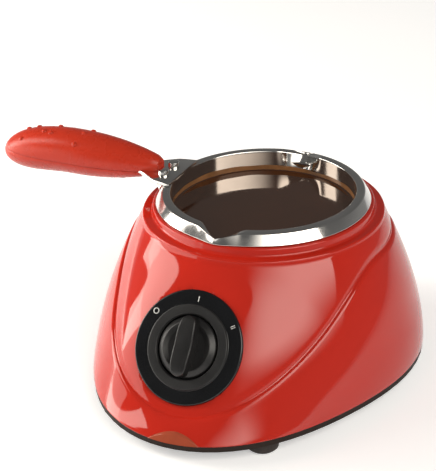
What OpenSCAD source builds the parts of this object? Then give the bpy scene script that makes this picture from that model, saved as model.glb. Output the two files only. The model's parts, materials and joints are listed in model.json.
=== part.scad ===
// Electric chocolate melting pot: a heated housing with a rotary switch, and a lift-out pot with a handle.
// Millimetres, +Z up, front along -Y, handle along -X. The origin is on the pot's axis, on the table.

/* [Pot] */
// Radius of the pot's mouth, inside the lip
lip_r = 48.2; // [46:0.2:50]
// Wall of the pressed steel pot
pot_wall = 0.8; // [0.6:0.1:1.2]
// Depth from the lip to the floor, inside
pot_depth = 48; // [42:1:52]
// Narrowing of the bowl from its mouth to its floor
pot_draft = 3; // [1:0.5:5]
// Width of the flat ring round the mouth
rim_flat_w = 4.2; // [3.6:0.2:5]
// Outward reach of the sloping skirt under the flat ring
rim_skirt_w = 3.6; // [3:0.2:4.2]
// Fall of the skirt's edge below the lip
rim_drop = 5.5; // [4.5:0.5:7]
// Half width of a pouring lip
spout_half_w = 11.5; // [9:0.5:14]
// Reach of a pouring lip beyond the mouth
spout_reach = 9; // [7:0.5:10]
// Fall of a pouring lip's tip below the lip
spout_drop = 4; // [3:0.5:5]

/* [Housing] */
// Reach of the nose in front of the axis
front_reach = 120.8; // [116:0.2:124]
// Reach of each side
side_reach = 87.5; // [85:0.5:90]
// Reach behind the axis
back_reach = 80; // [78:0.5:86]
// Width of the shoulder from the body to the foot of the collar
shoulder_w = 4; // [3:0.2:6]
// Wall of the collar outside the well's flange
collar_wall = 2.7; // [2.4:0.1:3.6]
// Height of the collar
collar_h = 4; // [3:0.5:5]
// Widening of the collar towards its foot
collar_flare = 0.8; // [0.4:0.2:1.6]
// Wall of the moulded housing
shell_t = 2.8; // [2.4:0.1:3.2]
// Height of the swept groove above the edge, at the nose
groove_front_h = 9.5; // [8:0.5:11]
// Distance of the swept groove below the shoulder, at the sides
groove_side_drop = 11; // [10:1:16]
// Depth of the swept groove
groove_depth = 1.4; // [0.8:0.1:1.6]

/* [Base] */
// Height of the feet below the base plate
foot_h = 7; // [6:0.5:10]
// Radius of a foot
foot_r = 8; // [7:0.5:9]
// Thickness of the base plate
plate_t = 3; // [2:0.1:3.6]
// Distance of a front foot's centre in from the body's edge
front_foot_in = 11; // [10:0.2:16]
// Distance of a rear foot's centre in from the body's edge
rear_foot_in = 15.8; // [12:0.2:20]

/* [Dial] */
// Radius of the dial plate
dial_r = 28.4; // [27:0.2:29]
// Height of the dial's centre above the housing's edge
dial_h = 35.9; // [34:0.5:38]
// Distance of the dial's centre in front of the body's smooth surface
dial_stand = 0.5; // [0.3:0.1:1.5]
// Lean of the dial back from upright, in degrees
dial_tilt = 35; // [32:1:38]
// Radius inside the raised ring
recess_r = 15.8; // [15:0.2:17]
// Width of the knob's grip
grip_w = 9.6; // [8:0.2:10.4]
// Rise of the knob's grip in front of the dial
grip_rise = 7.2; // [6.4:0.2:9]
// Radius of the switch spindle
spindle_r = 3; // [2.5:0.1:3.2]

/* [Heater] */
// Height of the heating plate's underside above the base plate
heater_room = 28.2; // [27:0.2:32]
// Clearance round the pot in its well
well_gap = 1.2; // [0.8:0.1:1.6]
// Thickness of the heating plate
heat_plate_t = 5; // [4:0.5:6]
// Radius of the ring that the heating element follows
element_ring_r = 29; // [28:0.5:31]
// Radius of the heating element
element_r = 3.25; // [2.5:0.25:3.5]

/* [Handle] */
// Gap from the pot's rim to the start of the grip
grip_gap = 4; // [3:0.5:6]
// Length of the grip
grip_l = 98; // [90:1:106]
// Largest radius of the grip
grip_r = 12.6; // [11.6:0.2:13.4]
// Radius of the grip where the bracket enters
grip_neck_r = 4.6; // [4.4:0.1:5.2]
// Wall of the grip's shells
grip_wall = 2.4; // [2:0.1:2.8]
// Thickness of the bracket
bracket_t = 1.4; // [1.2:0.1:1.6]
// Half width of the bracket at the pot
bracket_half_w = 17; // [15:0.5:18]
// Half width of the bracket at the grip
bracket_neck_w = 8.5; // [8:0.25:9.5]

/* [Rear] */
// Radius of the hole for the mains lead
lead_r = 3.6; // [3:0.1:4]
// Height of the lead's hole above the base plate
lead_h = 14; // [13:0.5:16]

/* [Hidden] */
$fn = 96;

// Colours
RED = [0.80, 0.12, 0.07];
GRIP_RED = [0.83, 0.20, 0.12];
BLACK = [0.06, 0.06, 0.06];
CHARCOAL = [0.14, 0.14, 0.14];
DARK_BROWN = [0.16, 0.11, 0.09];
STEEL = [0.78, 0.78, 0.80];
CAST = [0.62, 0.62, 0.64];
BRASS = [0.80, 0.65, 0.35];
NYLON = [0.88, 0.86, 0.80];
CERAMIC = [0.93, 0.92, 0.88];
WIRE_BROWN = [0.45, 0.25, 0.12];
WIRE_BLUE = [0.15, 0.35, 0.75];
WIRE_BLACK = [0.10, 0.10, 0.10];
WIRE_GREEN = [0.30, 0.60, 0.15];

// Shared small sizes
over = 1;
snug = 0.1;
slack = 0.3;
nudge = 0.05;
fine = 32;

// Heights
edge_z = foot_h + plate_t;
rim_gap = 0.5;
heat_plate_z = edge_z + heater_room;
pot_bottom_z = heat_plate_z + heat_plate_t;
lip_z = pot_bottom_z + pot_wall + pot_depth;
collar_z = lip_z - rim_drop - rim_gap;
collar_foot_z = collar_z - collar_h;
body_h = collar_foot_z - edge_z;
groove_side_h = body_h - groove_side_drop;

// Outline of the body
nose_power = 8.3;
tail_power = 2.5;
front_fall = 0.9;
side_fall = 1.79;
back_fall = 1.6;
around = 72;
nose_crowding_share = 0.35;
edge_round = 0.8;
hem_round = 0.3;
skirt_rings = 4;
upper_rings = 7;
groove_turn = 83;
groove_lip = 1.6;
groove_rise = 1.8;
groove_step = 0.8;
roof_t = 2.6;
cavity_rings = 7;

// Liner and well
pot_outer_r = lip_r + pot_wall;
liner_r = pot_outer_r + well_gap;
liner_t = 0.8;
opening_r = liner_r + liner_t + liner_t;
flange_w = 3.4;
flange_r = liner_r + liner_t + flange_w;
flange_seat = 1.6;
ledge_w = 12.2;
liner_hole_r = liner_r - ledge_w;
collar_r = flange_r + slack + collar_wall;
collar_foot_r = collar_r + collar_flare;
shoulder_r = collar_foot_r + shoulder_w;
plate_gap = 1;
spigot_h = 2.2;
spigot_gap = 0.4;

// Screws and bosses
screw_r = 1.5;
screw_gap = 0.1;
screw_head_r = 3.3;
screw_head_h = 2;
boss_r = 4.5;
boss_h = 20;
boss_bite = 1;
screw_bite = 12;
front_boss_turn = 50;
rear_boss_turn = 128;

// Base plate
plate_inset = 0.4;
rib_h = 4;
rib_t = 1.8;
rib_gap = 0.4;
front_foot_turn = 23.5;
rear_foot_turn = 142;
stem_r = 3;
barb_r = 4.2;
barb_h = 2.4;
foot_bevel = 1.2;
vent_w = 3;
vent_l = 26;
vent_step = 7;
vent_count = 5;
vent_out = 62;
vent_forward = 12;

// Dial and switch
dial_t = 3.2;
dial_floor = 2;
ring_w = 5.5;
ring_r = recess_r + ring_w;
ring_rise = 1.2;
dial_bevel = 0.8;
land_t = 2.5;
land_wall = 2.4;
land_lip = 1.3;
land_depth = 7.5;
bush_r = 5;
bush_top = 0.6;
nut_h = 2.2;
nut_af = 14;
nut_bevel = 0.4;
switch_w = 26;
switch_t = 14;
bush_plate_t = 1.6;
rotor_r = 7;
rotor_t = 3;
spindle_gap = 0.05;
knob_roof = 2;
spindle_top = grip_rise - knob_roof;
skirt_gap = 0.6;
knob_skirt_top = 0.6;
knob_disc_r = 12;
knob_disc_top = 2;
knob_floor_gap = 0.4;
nut_room = 0.3;
grip_taper = 0.8;
blade_w = 4.8;
blade_t = 0.8;
blade_l = 7;
blade_step = 8;

// Lens and lamp
lens_half_w = 13.5;
lens_h = 4.2;
lens_gap = 0.15;
lens_turn = 5.5;
lens_t = 2.2;
nose_round_r = 57;
lamp_r = 2.6;
lamp_l = 12;
lamp_back = 15;
holder_wall = 1.6;
holder_rise = 3;
lamp_gap = 1;
lamp_z = edge_z + holder_rise + lamp_r;

// Heating parts
element_open = 50;
stud_r = 2;
stud_out = 16;
stud_nut_h = 3.2;
stud_nut_af = 7;
thermostat_r = 8;
thermostat_h = 7;
bridge_t = 1.2;
bridge_w = 9;
stud_tail = 1.6;
fuse_r = 2;
fuse_l = 12;
fuse_out = 16;
clip_t = 0.8;
clip_w = 5;
shield_r = liner_r + liner_t;
shield_gap = 0.5;
shield_hole_out = 30;
shield_hole_turn = 20;
shield_t = 0.6;
shield_drop = 20;
standoff_in = 7.2;
standoff_out = liner_r - standoff_in;
standoff_r = 4;
standoff_neck_r = 3;
standoff_turns = [60, 180, 300];
standoff_bite = 8;

// Terminal block, cord bushing and clamp
block_turn = 112;
block_l = 30;
block_w = 14;
block_room = 4;
block_out = shield_r + block_room + block_w / 2;
block_h = 12;
block_ways = 3;
way_r = 1.8;
bush_flange = 2.4;
bush_flange_t = 2.2;
bush_wall = 2;
bush_tail = 4;
clamp_l = 26;
clamp_w = 9;
clamp_out = shield_r + shield_gap + clamp_w / 2;
clamp_t = 3;
clamp_screw_out = 9;

// Wires
wire_r = 1.1;
wire_sides = 8;
wire_steps = 22;
wire_gap = 0.2;
wire_room = 4;
wire_ease_share = 0.25;
wire_steep_share = 0.9;

// Handle
grip_rings = 17;
grip_sides = 28;
grip_lift = 3;
grip_sag = 5.4;
sag_start_share = 0.56;
neck_share = 0.51;
neck_power = 0.85;
tip_start_share = 0.61;
tip_power = 3;
sag_power = 1.5;
tip_r = 0.6;
cavity_in_share = 0.17;
cavity_out_share = 0.92;
cavity_rings_grip = 11;
tang_half_w = 6.2;
tang_tail = 8;
tang_gap = 0.2;
bracket_gap = 0.5;
bracket_neck_in = 7;
bracket_flange = 2.6;
flange_lead = 2.4;
lug_half_w = 10;
lug_t = 1.2;
rivet_in = 2.8;
rivet_side = 5.8;
rivet_r = 1.8;
rivet_head_r = 3.1;
rivet_head_h = 2.1;
rivet_bevel = 0.5;
rivet_tail_r = 2.6;
rivet_tail_h = 1.2;
grip_screw_in = 24;
grip_screw_step = 20;
grip_boss_r = 4.2;
grip_boss_share = 0.55;

// Places along the handle, from the axis
rim_mid_r = lip_r + rim_flat_w;
rim_out_r = rim_mid_r + rim_skirt_w;
grip_in = rim_out_r + grip_gap;
grip_out = grip_in + grip_l;
grip_screw_outs = [grip_in + grip_screw_in, grip_in + grip_screw_in + grip_screw_step];
tang_out = grip_screw_outs[1] + tang_tail;
bracket_in = pot_outer_r + bracket_gap;
bracket_mouth_out = rim_out_r + bracket_gap;
bracket_neck_out = grip_in + bracket_neck_in;
flange_start_out = grip_in - flange_lead;
rivet_out = rim_mid_r + rivet_in;
lug_out = grip_in;

function wrap(a) = a > 180 ? a - 360 : a;
function plan_r(a) = side_reach
  + (front_reach - side_reach) * pow((1 + cos(a)) / 2, nose_power)
  + (back_reach - side_reach) * pow((1 - cos(a)) / 2, tail_power);
function fall(a) = side_fall
  + (front_fall - side_fall) * pow(max(cos(a), 0), 2)
  + (back_fall - side_fall) * pow(max(-cos(a), 0), 2);
// Radius of the body's smooth surface at a turn from the nose and a height above the edge.
function body_r(a, h) = shoulder_r
  + (plan_r(a) - shoulder_r) * (1 - pow(max(h, 0) / body_h, fall(a)));
function groove_h(a) = groove_front_h
  + (groove_side_h - groove_front_h) * (1 - cos(180 * min(abs(wrap(a)) / groove_turn, 1))) / 2;
function turn_at(j) = let(u = 360 * j / around) u - nose_crowding_share * sin(u) * 180 / PI;
function around_at(a, r, z) = [r * sin(a), -r * cos(a), z];
// One upright section of the outer skin, as heights and offsets from the smooth surface.
function section(a) = let(g = groove_h(a)) [
  [0, -hem_round],
  for (k = [0 : skirt_rings]) [hem_round + (g - groove_lip - hem_round) * k / skirt_rings, 0],
  [g - groove_lip / 4, -groove_depth / 4],
  [g, -groove_depth],
  [g + groove_rise / 2, -groove_depth],
  for (k = [0 : upper_rings]) let(s = k / upper_rings)
    [g + groove_rise + (body_h - edge_round - g - groove_rise) * s, -groove_step * pow(1 - s, 2)],
  [body_h, -edge_round - edge_round]];
function section_count() = len(section(0));
function dial_out() = body_r(0, dial_h) + dial_stand;

// A closed solid through rings of equal count, each ring anticlockwise about the way they stack.
module loft(rings) {
  n = len(rings[0]);
  m = len(rings);
  points = [for (r = rings) each r];
  sides = [for (i = [0 : m - 2], j = [0 : n - 1])
    let(a = i * n + j, b = i * n + (j + 1) % n) each [[a, a + n, b + n], [a, b + n, b]]];
  polyhedron(points, concat([[for (j = [0 : n - 1]) j]], sides,
    [[for (j = [n - 1 : -1 : 0]) (m - 1) * n + j]]));
}

module outer_skin() {
  sections = [for (j = [0 : around - 1]) section(turn_at(j))];
  loft([for (i = [0 : section_count() - 1]) [for (j = [0 : around - 1])
    let(a = turn_at(j), p = sections[j][i]) around_at(a, body_r(a, p[0]) + p[1], edge_z + p[0])]]);
}

module cavity() {
  heights = [-over, for (k = [0 : cavity_rings]) (body_h - roof_t) * k / cavity_rings];
  loft([for (h = heights) [for (j = [0 : around - 1])
    let(a = turn_at(j)) around_at(a, body_r(a, h) - shell_t, edge_z + h)]]);
}

module at_turn(a, r) {
  translate([r * sin(a), -r * cos(a), 0]) rotate([0, 0, a]) children();
}

module mirrored() {
  children();
  mirror([1, 0, 0]) children();
}

// The dial's own frame: +Z out of the dial face, +Y up the slope.
module at_dial() {
  translate([0, -dial_out(), edge_z + dial_h]) rotate([90 - dial_tilt, 0, 0]) children();
}

module at_bosses() {
  for (a = [front_boss_turn, rear_boss_turn]) mirrored()
    at_turn(a, body_r(a, boss_h) - shell_t - boss_r + boss_bite) children();
}

module at_feet() {
  mirrored() at_turn(front_foot_turn, plan_r(front_foot_turn) - front_foot_in) children();
  mirrored() at_turn(rear_foot_turn, plan_r(rear_foot_turn) - rear_foot_in) children();
}

module at_standoffs() {
  for (a = standoff_turns) at_turn(a, standoff_out) children();
}

// Round the middle of the nose's curve, so that the lens sits a little to the right of the dial.
module at_lens() {
  translate([0, nose_round_r - front_reach, 0]) rotate([0, 0, lens_turn])
    translate([0, front_reach - nose_round_r, 0]) children();
}

module at_block() {
  at_turn(block_turn, block_out) children();
}

module hexagon(af, h) {
  cylinder(r = af / 2 / cos(30), h = h, $fn = 6);
}

module arch_2d(grow) {
  intersection() {
    translate([0, (lens_h * lens_h - lens_half_w * lens_half_w) / (2 * lens_h)])
      circle(r = (lens_h * lens_h + lens_half_w * lens_half_w) / (2 * lens_h) + grow);
    translate([-lens_half_w - grow - over, -over])
      square([2 * (lens_half_w + grow + over), lens_h + grow + 2 * over]);
  }
}

module collar() {
  rotate_extrude() polygon([[0, collar_foot_z - roof_t], [collar_foot_r, collar_foot_z - roof_t],
    [collar_foot_r, collar_foot_z], [collar_r, collar_z - nudge], [collar_r - edge_round, collar_z],
    [0, collar_z]]);
}

// The boss behind the dial, kept clear of the lamp and of the base plate's rib.
module dial_land() {
  room_l = lamp_l + 2 * wire_room;
  difference() {
    at_dial() translate([0, 0, -dial_t - land_depth]) difference() {
      cylinder(r = dial_r + land_lip, h = land_depth);
      translate([0, 0, -over]) cylinder(r = dial_r + land_lip - land_wall, h = land_depth - land_t + over);
    }
    at_lens() translate([-room_l / 2, lamp_y, lamp_z]) rotate([0, 90, 0]) cylinder(r = lamp_r + lamp_gap, h = room_l);
    translate([-side_reach, -front_reach - over, -over])
      cube([2 * side_reach, front_reach, edge_z + rib_h + slack + over]);
  }
}

module housing_bosses() {
  at_bosses() {
    translate([0, 0, edge_z]) cylinder(r = boss_r, h = boss_h);
    translate([-rib_t / 2, -boss_r - boss_bite, edge_z + boss_h / 2]) cube([rib_t, boss_r, boss_h / 2]);
  }
}

module housing() {
  color(RED) difference() {
    union() {
      difference() {
        union() {
          outer_skin();
          collar();
        }
        cavity();
      }
      dial_land();
      housing_bosses();
    }
    translate([0, 0, collar_foot_z - roof_t - over]) cylinder(r = opening_r, h = roof_t + collar_h + 2 * over);
    translate([0, 0, collar_z - flange_seat]) cylinder(r = flange_r + slack, h = flange_seat + over);
    at_dial() translate([0, 0, -dial_t]) cylinder(r = dial_r + slack, h = land_depth);
    at_dial() translate([0, 0, -dial_t - land_t - over]) cylinder(r = bush_r + slack, h = land_t + 2 * over);
    at_lens() translate([0, -front_reach + land_depth, edge_z]) rotate([90, 0, 0])
      linear_extrude(land_depth + over) arch_2d(lens_gap);
    translate([0, body_r(180, lead_h), edge_z + lead_h]) rotate([-90, 0, 0]) {
      translate([0, 0, -2 * shell_t]) cylinder(r = lead_r + bush_wall + snug, h = 3 * shell_t);
      cylinder(r = lead_r + bush_wall + bush_flange + snug, h = shell_t);
    }
    at_bosses() translate([0, 0, edge_z - over]) cylinder(r = screw_r + screw_gap, h = screw_bite + 2 * over, $fn = fine);
  }
}

function outline(inset, h = 0) = [for (j = [0 : around - 1]) let(a = turn_at(j), r = body_r(a, h) - inset)
  [r * sin(a), -r * cos(a)]];

module base_plate() {
  saddle_h = lead_h - lead_r - snug;
  color(DARK_BROWN) difference() {
    union() {
      translate([0, 0, foot_h]) linear_extrude(plate_t) polygon(outline(plate_inset));
      difference() {
        translate([0, 0, edge_z]) linear_extrude(rib_h) polygon(outline(shell_t + rib_gap, rib_h));
        translate([0, 0, edge_z]) linear_extrude(rib_h + over) polygon(outline(shell_t + rib_gap + rib_t, rib_h));
        at_bosses() translate([0, 0, edge_z]) cylinder(r = boss_r + rib_gap, h = rib_h + over);
        at_feet() translate([0, 0, edge_z]) cylinder(r = barb_r + rib_gap, h = rib_h + over);
        at_lens() translate([-lens_half_w - rib_t, -front_reach, edge_z])
          cube([2 * (lens_half_w + rib_t), front_reach / 2, rib_h + over]);
      }
      translate([-clamp_l / 2, clamp_out - clamp_w / 2, edge_z]) cube([clamp_l, clamp_w, saddle_h]);
    }
    at_bosses() translate([0, 0, foot_h - over]) cylinder(r = screw_r + screw_gap, h = plate_t + 2 * over, $fn = fine);
    at_standoffs() translate([0, 0, foot_h - over]) cylinder(r = screw_r + screw_gap, h = plate_t + 2 * over, $fn = fine);
    at_feet() translate([0, 0, foot_h - over]) cylinder(r = stem_r + snug, h = plate_t + 2 * over, $fn = fine);
    for (side = [-1, 1]) translate([side * clamp_screw_out, clamp_out, foot_h - over])
      cylinder(r = screw_r + screw_gap, h = plate_t + saddle_h + 2 * over, $fn = fine);
    mirrored() for (k = [0 : vent_count - 1])
      translate([vent_out - vent_l / 2, (k - (vent_count - 1) / 2) * vent_step - vent_forward, foot_h - over])
        cube([vent_l, vent_w, plate_t + 2 * over]);
  }
}

module feet() {
  color(DARK_BROWN) at_feet() rotate_extrude($fn = fine) polygon([[0, 0], [foot_r - foot_bevel, 0],
    [foot_r, foot_bevel], [foot_r - foot_bevel / 2, foot_h], [stem_r, foot_h], [stem_r, edge_z],
    [barb_r, edge_z], [stem_r, edge_z + barb_h], [0, edge_z + barb_h]]);
}

module pan_screw(length) {
  rotate_extrude($fn = fine) polygon([[0, -screw_head_h], [screw_head_r - screw_gap, -screw_head_h],
    [screw_head_r, -screw_head_h / 2], [screw_head_r, 0], [screw_r, 0], [screw_r, length - screw_r],
    [screw_r / 2, length], [0, length]]);
}

module base_screws() {
  color(STEEL) at_bosses() translate([0, 0, foot_h]) pan_screw(plate_t + screw_bite);
}

module well_liner() {
  color(STEEL) rotate_extrude() polygon([[liner_hole_r, heat_plate_z - liner_t],
    [liner_r + liner_t, heat_plate_z - liner_t], [liner_r + liner_t, collar_z - flange_seat],
    [flange_r, collar_z - flange_seat], [flange_r, collar_z - flange_seat + liner_t],
    [liner_r, collar_z - flange_seat + liner_t], [liner_r, heat_plate_z], [liner_hole_r, heat_plate_z]]);
}

stud_bottom_z = heat_plate_z - spigot_h - thermostat_h - bridge_t - stud_nut_h - stud_tail;

module heating_plate() {
  spigot_z = heat_plate_z - spigot_h;
  color(CAST) {
    rotate_extrude() polygon([[0, spigot_z], [liner_hole_r - spigot_gap, spigot_z],
      [liner_hole_r - spigot_gap, heat_plate_z], [liner_r - plate_gap, heat_plate_z],
      [liner_r - plate_gap, pot_bottom_z - edge_round], [liner_r - plate_gap - edge_round, pot_bottom_z],
      [0, pot_bottom_z]]);
    for (side = [-1, 1]) translate([side * stud_out, 0, stud_bottom_z])
      cylinder(r = stud_r, h = spigot_z + over - stud_bottom_z, $fn = fine);
  }
}

module heating_element() {
  spigot_z = heat_plate_z - spigot_h;
  color(CHARCOAL) translate([0, 0, spigot_z]) rotate([0, 0, element_open / 2 - 90]) {
    rotate_extrude(angle = 360 - element_open) translate([element_ring_r, -element_r]) intersection() {
      circle(r = element_r, $fn = fine);
      translate([-element_r, -2 * element_r]) square([2 * element_r, 3 * element_r - snug]);
    }
    for (turn = [0, 360 - element_open]) rotate([0, 0, turn]) translate([element_ring_r, 0, -3 * element_r])
      cylinder(r = element_r / 2, h = 2 * element_r, $fn = fine);
  }
}

module thermostat() {
  spigot_z = heat_plate_z - spigot_h;
  color(CERAMIC) translate([0, 0, spigot_z - thermostat_h]) {
    cylinder(r = thermostat_r, h = thermostat_h);
    for (side = [-1, 1]) translate([-blade_w / 2, side * thermostat_r / 2 - blade_t / 2, -bridge_t - blade_l])
      cube([blade_w, blade_t, blade_l + bridge_t + over]);
  }
}

module thermostat_bridge() {
  bridge_z = heat_plate_z - spigot_h - thermostat_h - bridge_t;
  half = stud_out + bridge_w / 2;
  color(STEEL) translate([0, 0, bridge_z]) difference() {
    union() {
      translate([-stud_out, -bridge_w / 2, 0]) cube([2 * stud_out, bridge_w, bridge_t]);
      for (side = [-1, 1]) translate([side * stud_out, 0, 0]) cylinder(r = bridge_w / 2, h = bridge_t);
      cylinder(r = thermostat_r, h = bridge_t);
    }
    for (side = [-1, 1]) translate([side * stud_out, 0, -over])
      cylinder(r = stud_r + snug, h = bridge_t + 2 * over, $fn = fine);
    translate([-blade_w / 2 - slack, -thermostat_r + blade_t, -over])
      cube([blade_w + 2 * slack, 2 * (thermostat_r - blade_t), bridge_t + 2 * over]);
  }
}

module stud_nuts() {
  nut_z = heat_plate_z - spigot_h - thermostat_h - bridge_t - stud_nut_h;
  color(STEEL) for (side = [-1, 1]) translate([side * stud_out, 0, nut_z]) difference() {
    hexagon(stud_nut_af, stud_nut_h);
    translate([0, 0, -over]) cylinder(r = stud_r + snug, h = stud_nut_h + 2 * over, $fn = fine);
  }
}

module thermal_fuse() {
  color(CERAMIC) translate([-fuse_l / 2, fuse_out, heat_plate_z - spigot_h - fuse_r]) rotate([0, 90, 0]) {
    cylinder(r = fuse_r - nudge, h = fuse_l, $fn = fine);
    translate([0, 0, -fuse_r]) cylinder(r = fuse_r / 4, h = fuse_l + 2 * fuse_r, $fn = fine);
  }
}

module fuse_clip() {
  spigot_z = heat_plate_z - spigot_h;
  inner = fuse_r + nudge;
  color(STEEL) translate([-clip_w / 2, fuse_out, spigot_z]) rotate([90, 0, 90]) linear_extrude(clip_w)
    difference() {
      union() {
        translate([-inner - clip_t, -inner]) square([2 * (inner + clip_t), inner]);
        translate([0, -fuse_r]) circle(r = inner + clip_t);
        translate([-2 * (inner + clip_t), -clip_t]) square([4 * (inner + clip_t), clip_t]);
      }
      translate([0, -fuse_r]) circle(r = inner);
      translate([-inner, -fuse_r]) square([2 * inner, fuse_r + over]);
    }
}

shield_z = heat_plate_z - liner_t - shield_drop;

module heat_shield() {
  color(STEEL) translate([0, 0, shield_z]) difference() {
    cylinder(r = shield_r, h = shield_t);
    at_standoffs() translate([0, 0, -over]) cylinder(r = standoff_neck_r + snug, h = shield_t + 2 * over, $fn = fine);
    mirrored() at_turn(180 - shield_hole_turn, shield_hole_out) translate([0, 0, -over])
      cylinder(r = standoff_r, h = shield_t + 2 * over, $fn = fine);
  }
}

module well_standoffs() {
  color(STEEL) at_standoffs() difference() {
    union() {
      translate([0, 0, edge_z]) cylinder(r = standoff_r, h = shield_z - edge_z, $fn = fine);
      translate([0, 0, edge_z]) cylinder(r = standoff_neck_r, h = heat_plate_z - liner_t - edge_z, $fn = fine);
    }
    translate([0, 0, edge_z - over]) cylinder(r = screw_r + screw_gap, h = standoff_bite + 2 * over, $fn = fine);
  }
}

module standoff_screws() {
  color(STEEL) at_standoffs() translate([0, 0, foot_h]) pan_screw(plate_t + standoff_bite);
}

module dial_plate() {
  color(BLACK) at_dial() rotate_extrude() polygon([[bush_r + slack, -dial_t], [dial_r, -dial_t],
    [dial_r, -dial_bevel], [dial_r - dial_bevel, 0], [ring_r, 0], [ring_r - ring_rise / 2, ring_rise],
    [recess_r + ring_rise / 2, ring_rise], [recess_r, 0], [recess_r, -dial_floor],
    [bush_r + slack, -dial_floor]]);
}

switch_top = -dial_t - land_t;

module switch_bush() {
  color(STEEL) at_dial() difference() {
    union() {
      translate([-switch_w / 2, -switch_w / 2, switch_top - bush_plate_t]) cube([switch_w, switch_w, bush_plate_t]);
      translate([0, 0, switch_top - bush_plate_t]) cylinder(r = bush_r, h = bush_top - switch_top + bush_plate_t);
    }
    translate([0, 0, switch_top - bush_plate_t - over])
      cylinder(r = spindle_r + spindle_gap, h = bush_top - switch_top + bush_plate_t + 2 * over);
  }
}

module switch_body() {
  body_top = switch_top - bush_plate_t;
  color(NYLON) at_dial() translate([0, 0, body_top - switch_t]) difference() {
    translate([-switch_w / 2, -switch_w / 2, 0]) cube([switch_w, switch_w, switch_t]);
    translate([0, 0, switch_t - rotor_t - slack - slack]) cylinder(r = rotor_r + slack, h = rotor_t + slack + slack + over);
  }
}

module switch_terminals() {
  body_bottom = switch_top - bush_plate_t - switch_t;
  color(BRASS) at_dial() for (k = [-1 : 1]) translate([k * blade_step - blade_t / 2, -blade_w / 2, body_bottom - blade_l])
    cube([blade_t, blade_w, blade_l]);
}

module switch_nut() {
  color(STEEL) at_dial() translate([0, 0, -dial_floor]) difference() {
    intersection() {
      hexagon(nut_af, nut_h);
      rotate_extrude() polygon([[0, 0], [nut_af, 0], [nut_af, nut_h - nut_bevel - nut_bevel],
        [nut_af / 2, nut_h], [0, nut_h]]);
    }
    translate([0, 0, -over]) cylinder(r = bush_r + snug, h = nut_h + 2 * over);
  }
}

module switch_spindle() {
  rotor_top = switch_top - bush_plate_t - slack;
  color(BRASS) at_dial() {
    translate([0, 0, rotor_top - rotor_t]) cylinder(r = rotor_r, h = rotor_t);
    translate([0, 0, rotor_top - rotor_t]) cylinder(r = spindle_r, h = spindle_top - rotor_top + rotor_t);
  }
}

module knob() {
  skirt_r = recess_r - skirt_gap;
  nut_room_r = nut_af / 2 / cos(30) + nut_room;
  low = -dial_floor + knob_floor_gap;
  room_top = bush_top + nut_room;
  color(BLACK) at_dial() difference() {
    union() {
      rotate_extrude() polygon([[0, low], [skirt_r, low], [skirt_r, knob_skirt_top - nut_room],
        [skirt_r - nut_room, knob_skirt_top], [knob_disc_r, knob_skirt_top], [knob_disc_r, knob_disc_top - nut_room],
        [knob_disc_r - nut_room, knob_disc_top], [0, knob_disc_top]]);
      intersection() {
        translate([0, 0, low]) cylinder(r = skirt_r, h = grip_rise - low);
        rotate([90, 0, 0]) translate([0, 0, -skirt_r]) linear_extrude(2 * skirt_r) polygon([
          [-grip_w / 2 - grip_taper, 0], [grip_w / 2 + grip_taper, 0], [grip_w / 2, grip_rise - grip_taper],
          [grip_w / 2 - grip_taper, grip_rise], [-grip_w / 2 + grip_taper, grip_rise],
          [-grip_w / 2, grip_rise - grip_taper]]);
      }
    }
    translate([0, 0, low - over]) cylinder(r = nut_room_r, h = room_top - low + over);
    translate([0, 0, low]) cylinder(r = spindle_r + nudge, h = spindle_top - low + nudge);
  }
}

module indicator_lens() {
  lean = (body_r(0, 0) - body_r(0, lens_h)) / lens_h;
  centre_y = -front_reach + nose_round_r;
  foot = nose_round_r - hem_round / 2;
  color([0.55, 0.20, 0.12, 0.8]) at_lens() intersection() {
    translate([0, -front_reach + land_depth, edge_z]) rotate([90, 0, 0]) linear_extrude(land_depth + over) arch_2d(0);
    translate([0, centre_y, edge_z]) rotate_extrude() polygon([[foot - lens_t - edge_round, 0], [foot, 0],
      [foot - lean * (lens_h + over), lens_h + over],
      [foot - lens_t - edge_round - lean * (lens_h + over), lens_h + over]]);
  }
}

lamp_y = -front_reach + lamp_back;

module neon_lamp() {
  color([0.95, 0.6, 0.35, 0.6]) at_lens() translate([-lamp_l / 2, lamp_y, lamp_z]) rotate([0, 90, 0]) {
    translate([0, 0, lamp_r]) cylinder(r = lamp_r, h = lamp_l - lamp_r, $fn = fine);
    translate([0, 0, lamp_r]) sphere(r = lamp_r, $fn = fine);
  }
}

module lamp_holder() {
  w = 2 * (lamp_r + holder_wall);
  color(NYLON) at_lens() difference() {
    translate([-lamp_l / 4, lamp_y - w / 2, edge_z]) cube([lamp_l / 2, w, holder_rise + lamp_r]);
    translate([-lamp_l, lamp_y, lamp_z]) rotate([0, 90, 0])
      cylinder(r = lamp_r + nudge, h = 2 * lamp_l, $fn = fine);
  }
}

module terminal_block() {
  step = block_l / block_ways;
  color(NYLON) at_block() difference() {
    translate([-block_l / 2, -block_w / 2, edge_z]) cube([block_l, block_w, block_h]);
    for (k = [0 : block_ways - 1]) translate([(k - (block_ways - 1) / 2) * step, 0, edge_z + block_h / 2]) {
      translate([0, block_w, 0]) rotate([90, 0, 0]) cylinder(r = way_r, h = 2 * block_w, $fn = fine);
      cylinder(r = screw_r + screw_gap, h = block_h, $fn = fine);
    }
  }
}

module terminal_screws() {
  step = block_l / block_ways;
  color(BRASS) at_block() for (k = [0 : block_ways - 1])
    translate([(k - (block_ways - 1) / 2) * step, 0, edge_z + block_h / 2 + way_r / 2])
      cylinder(r = screw_r, h = block_h / 2, $fn = fine);
}

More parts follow.
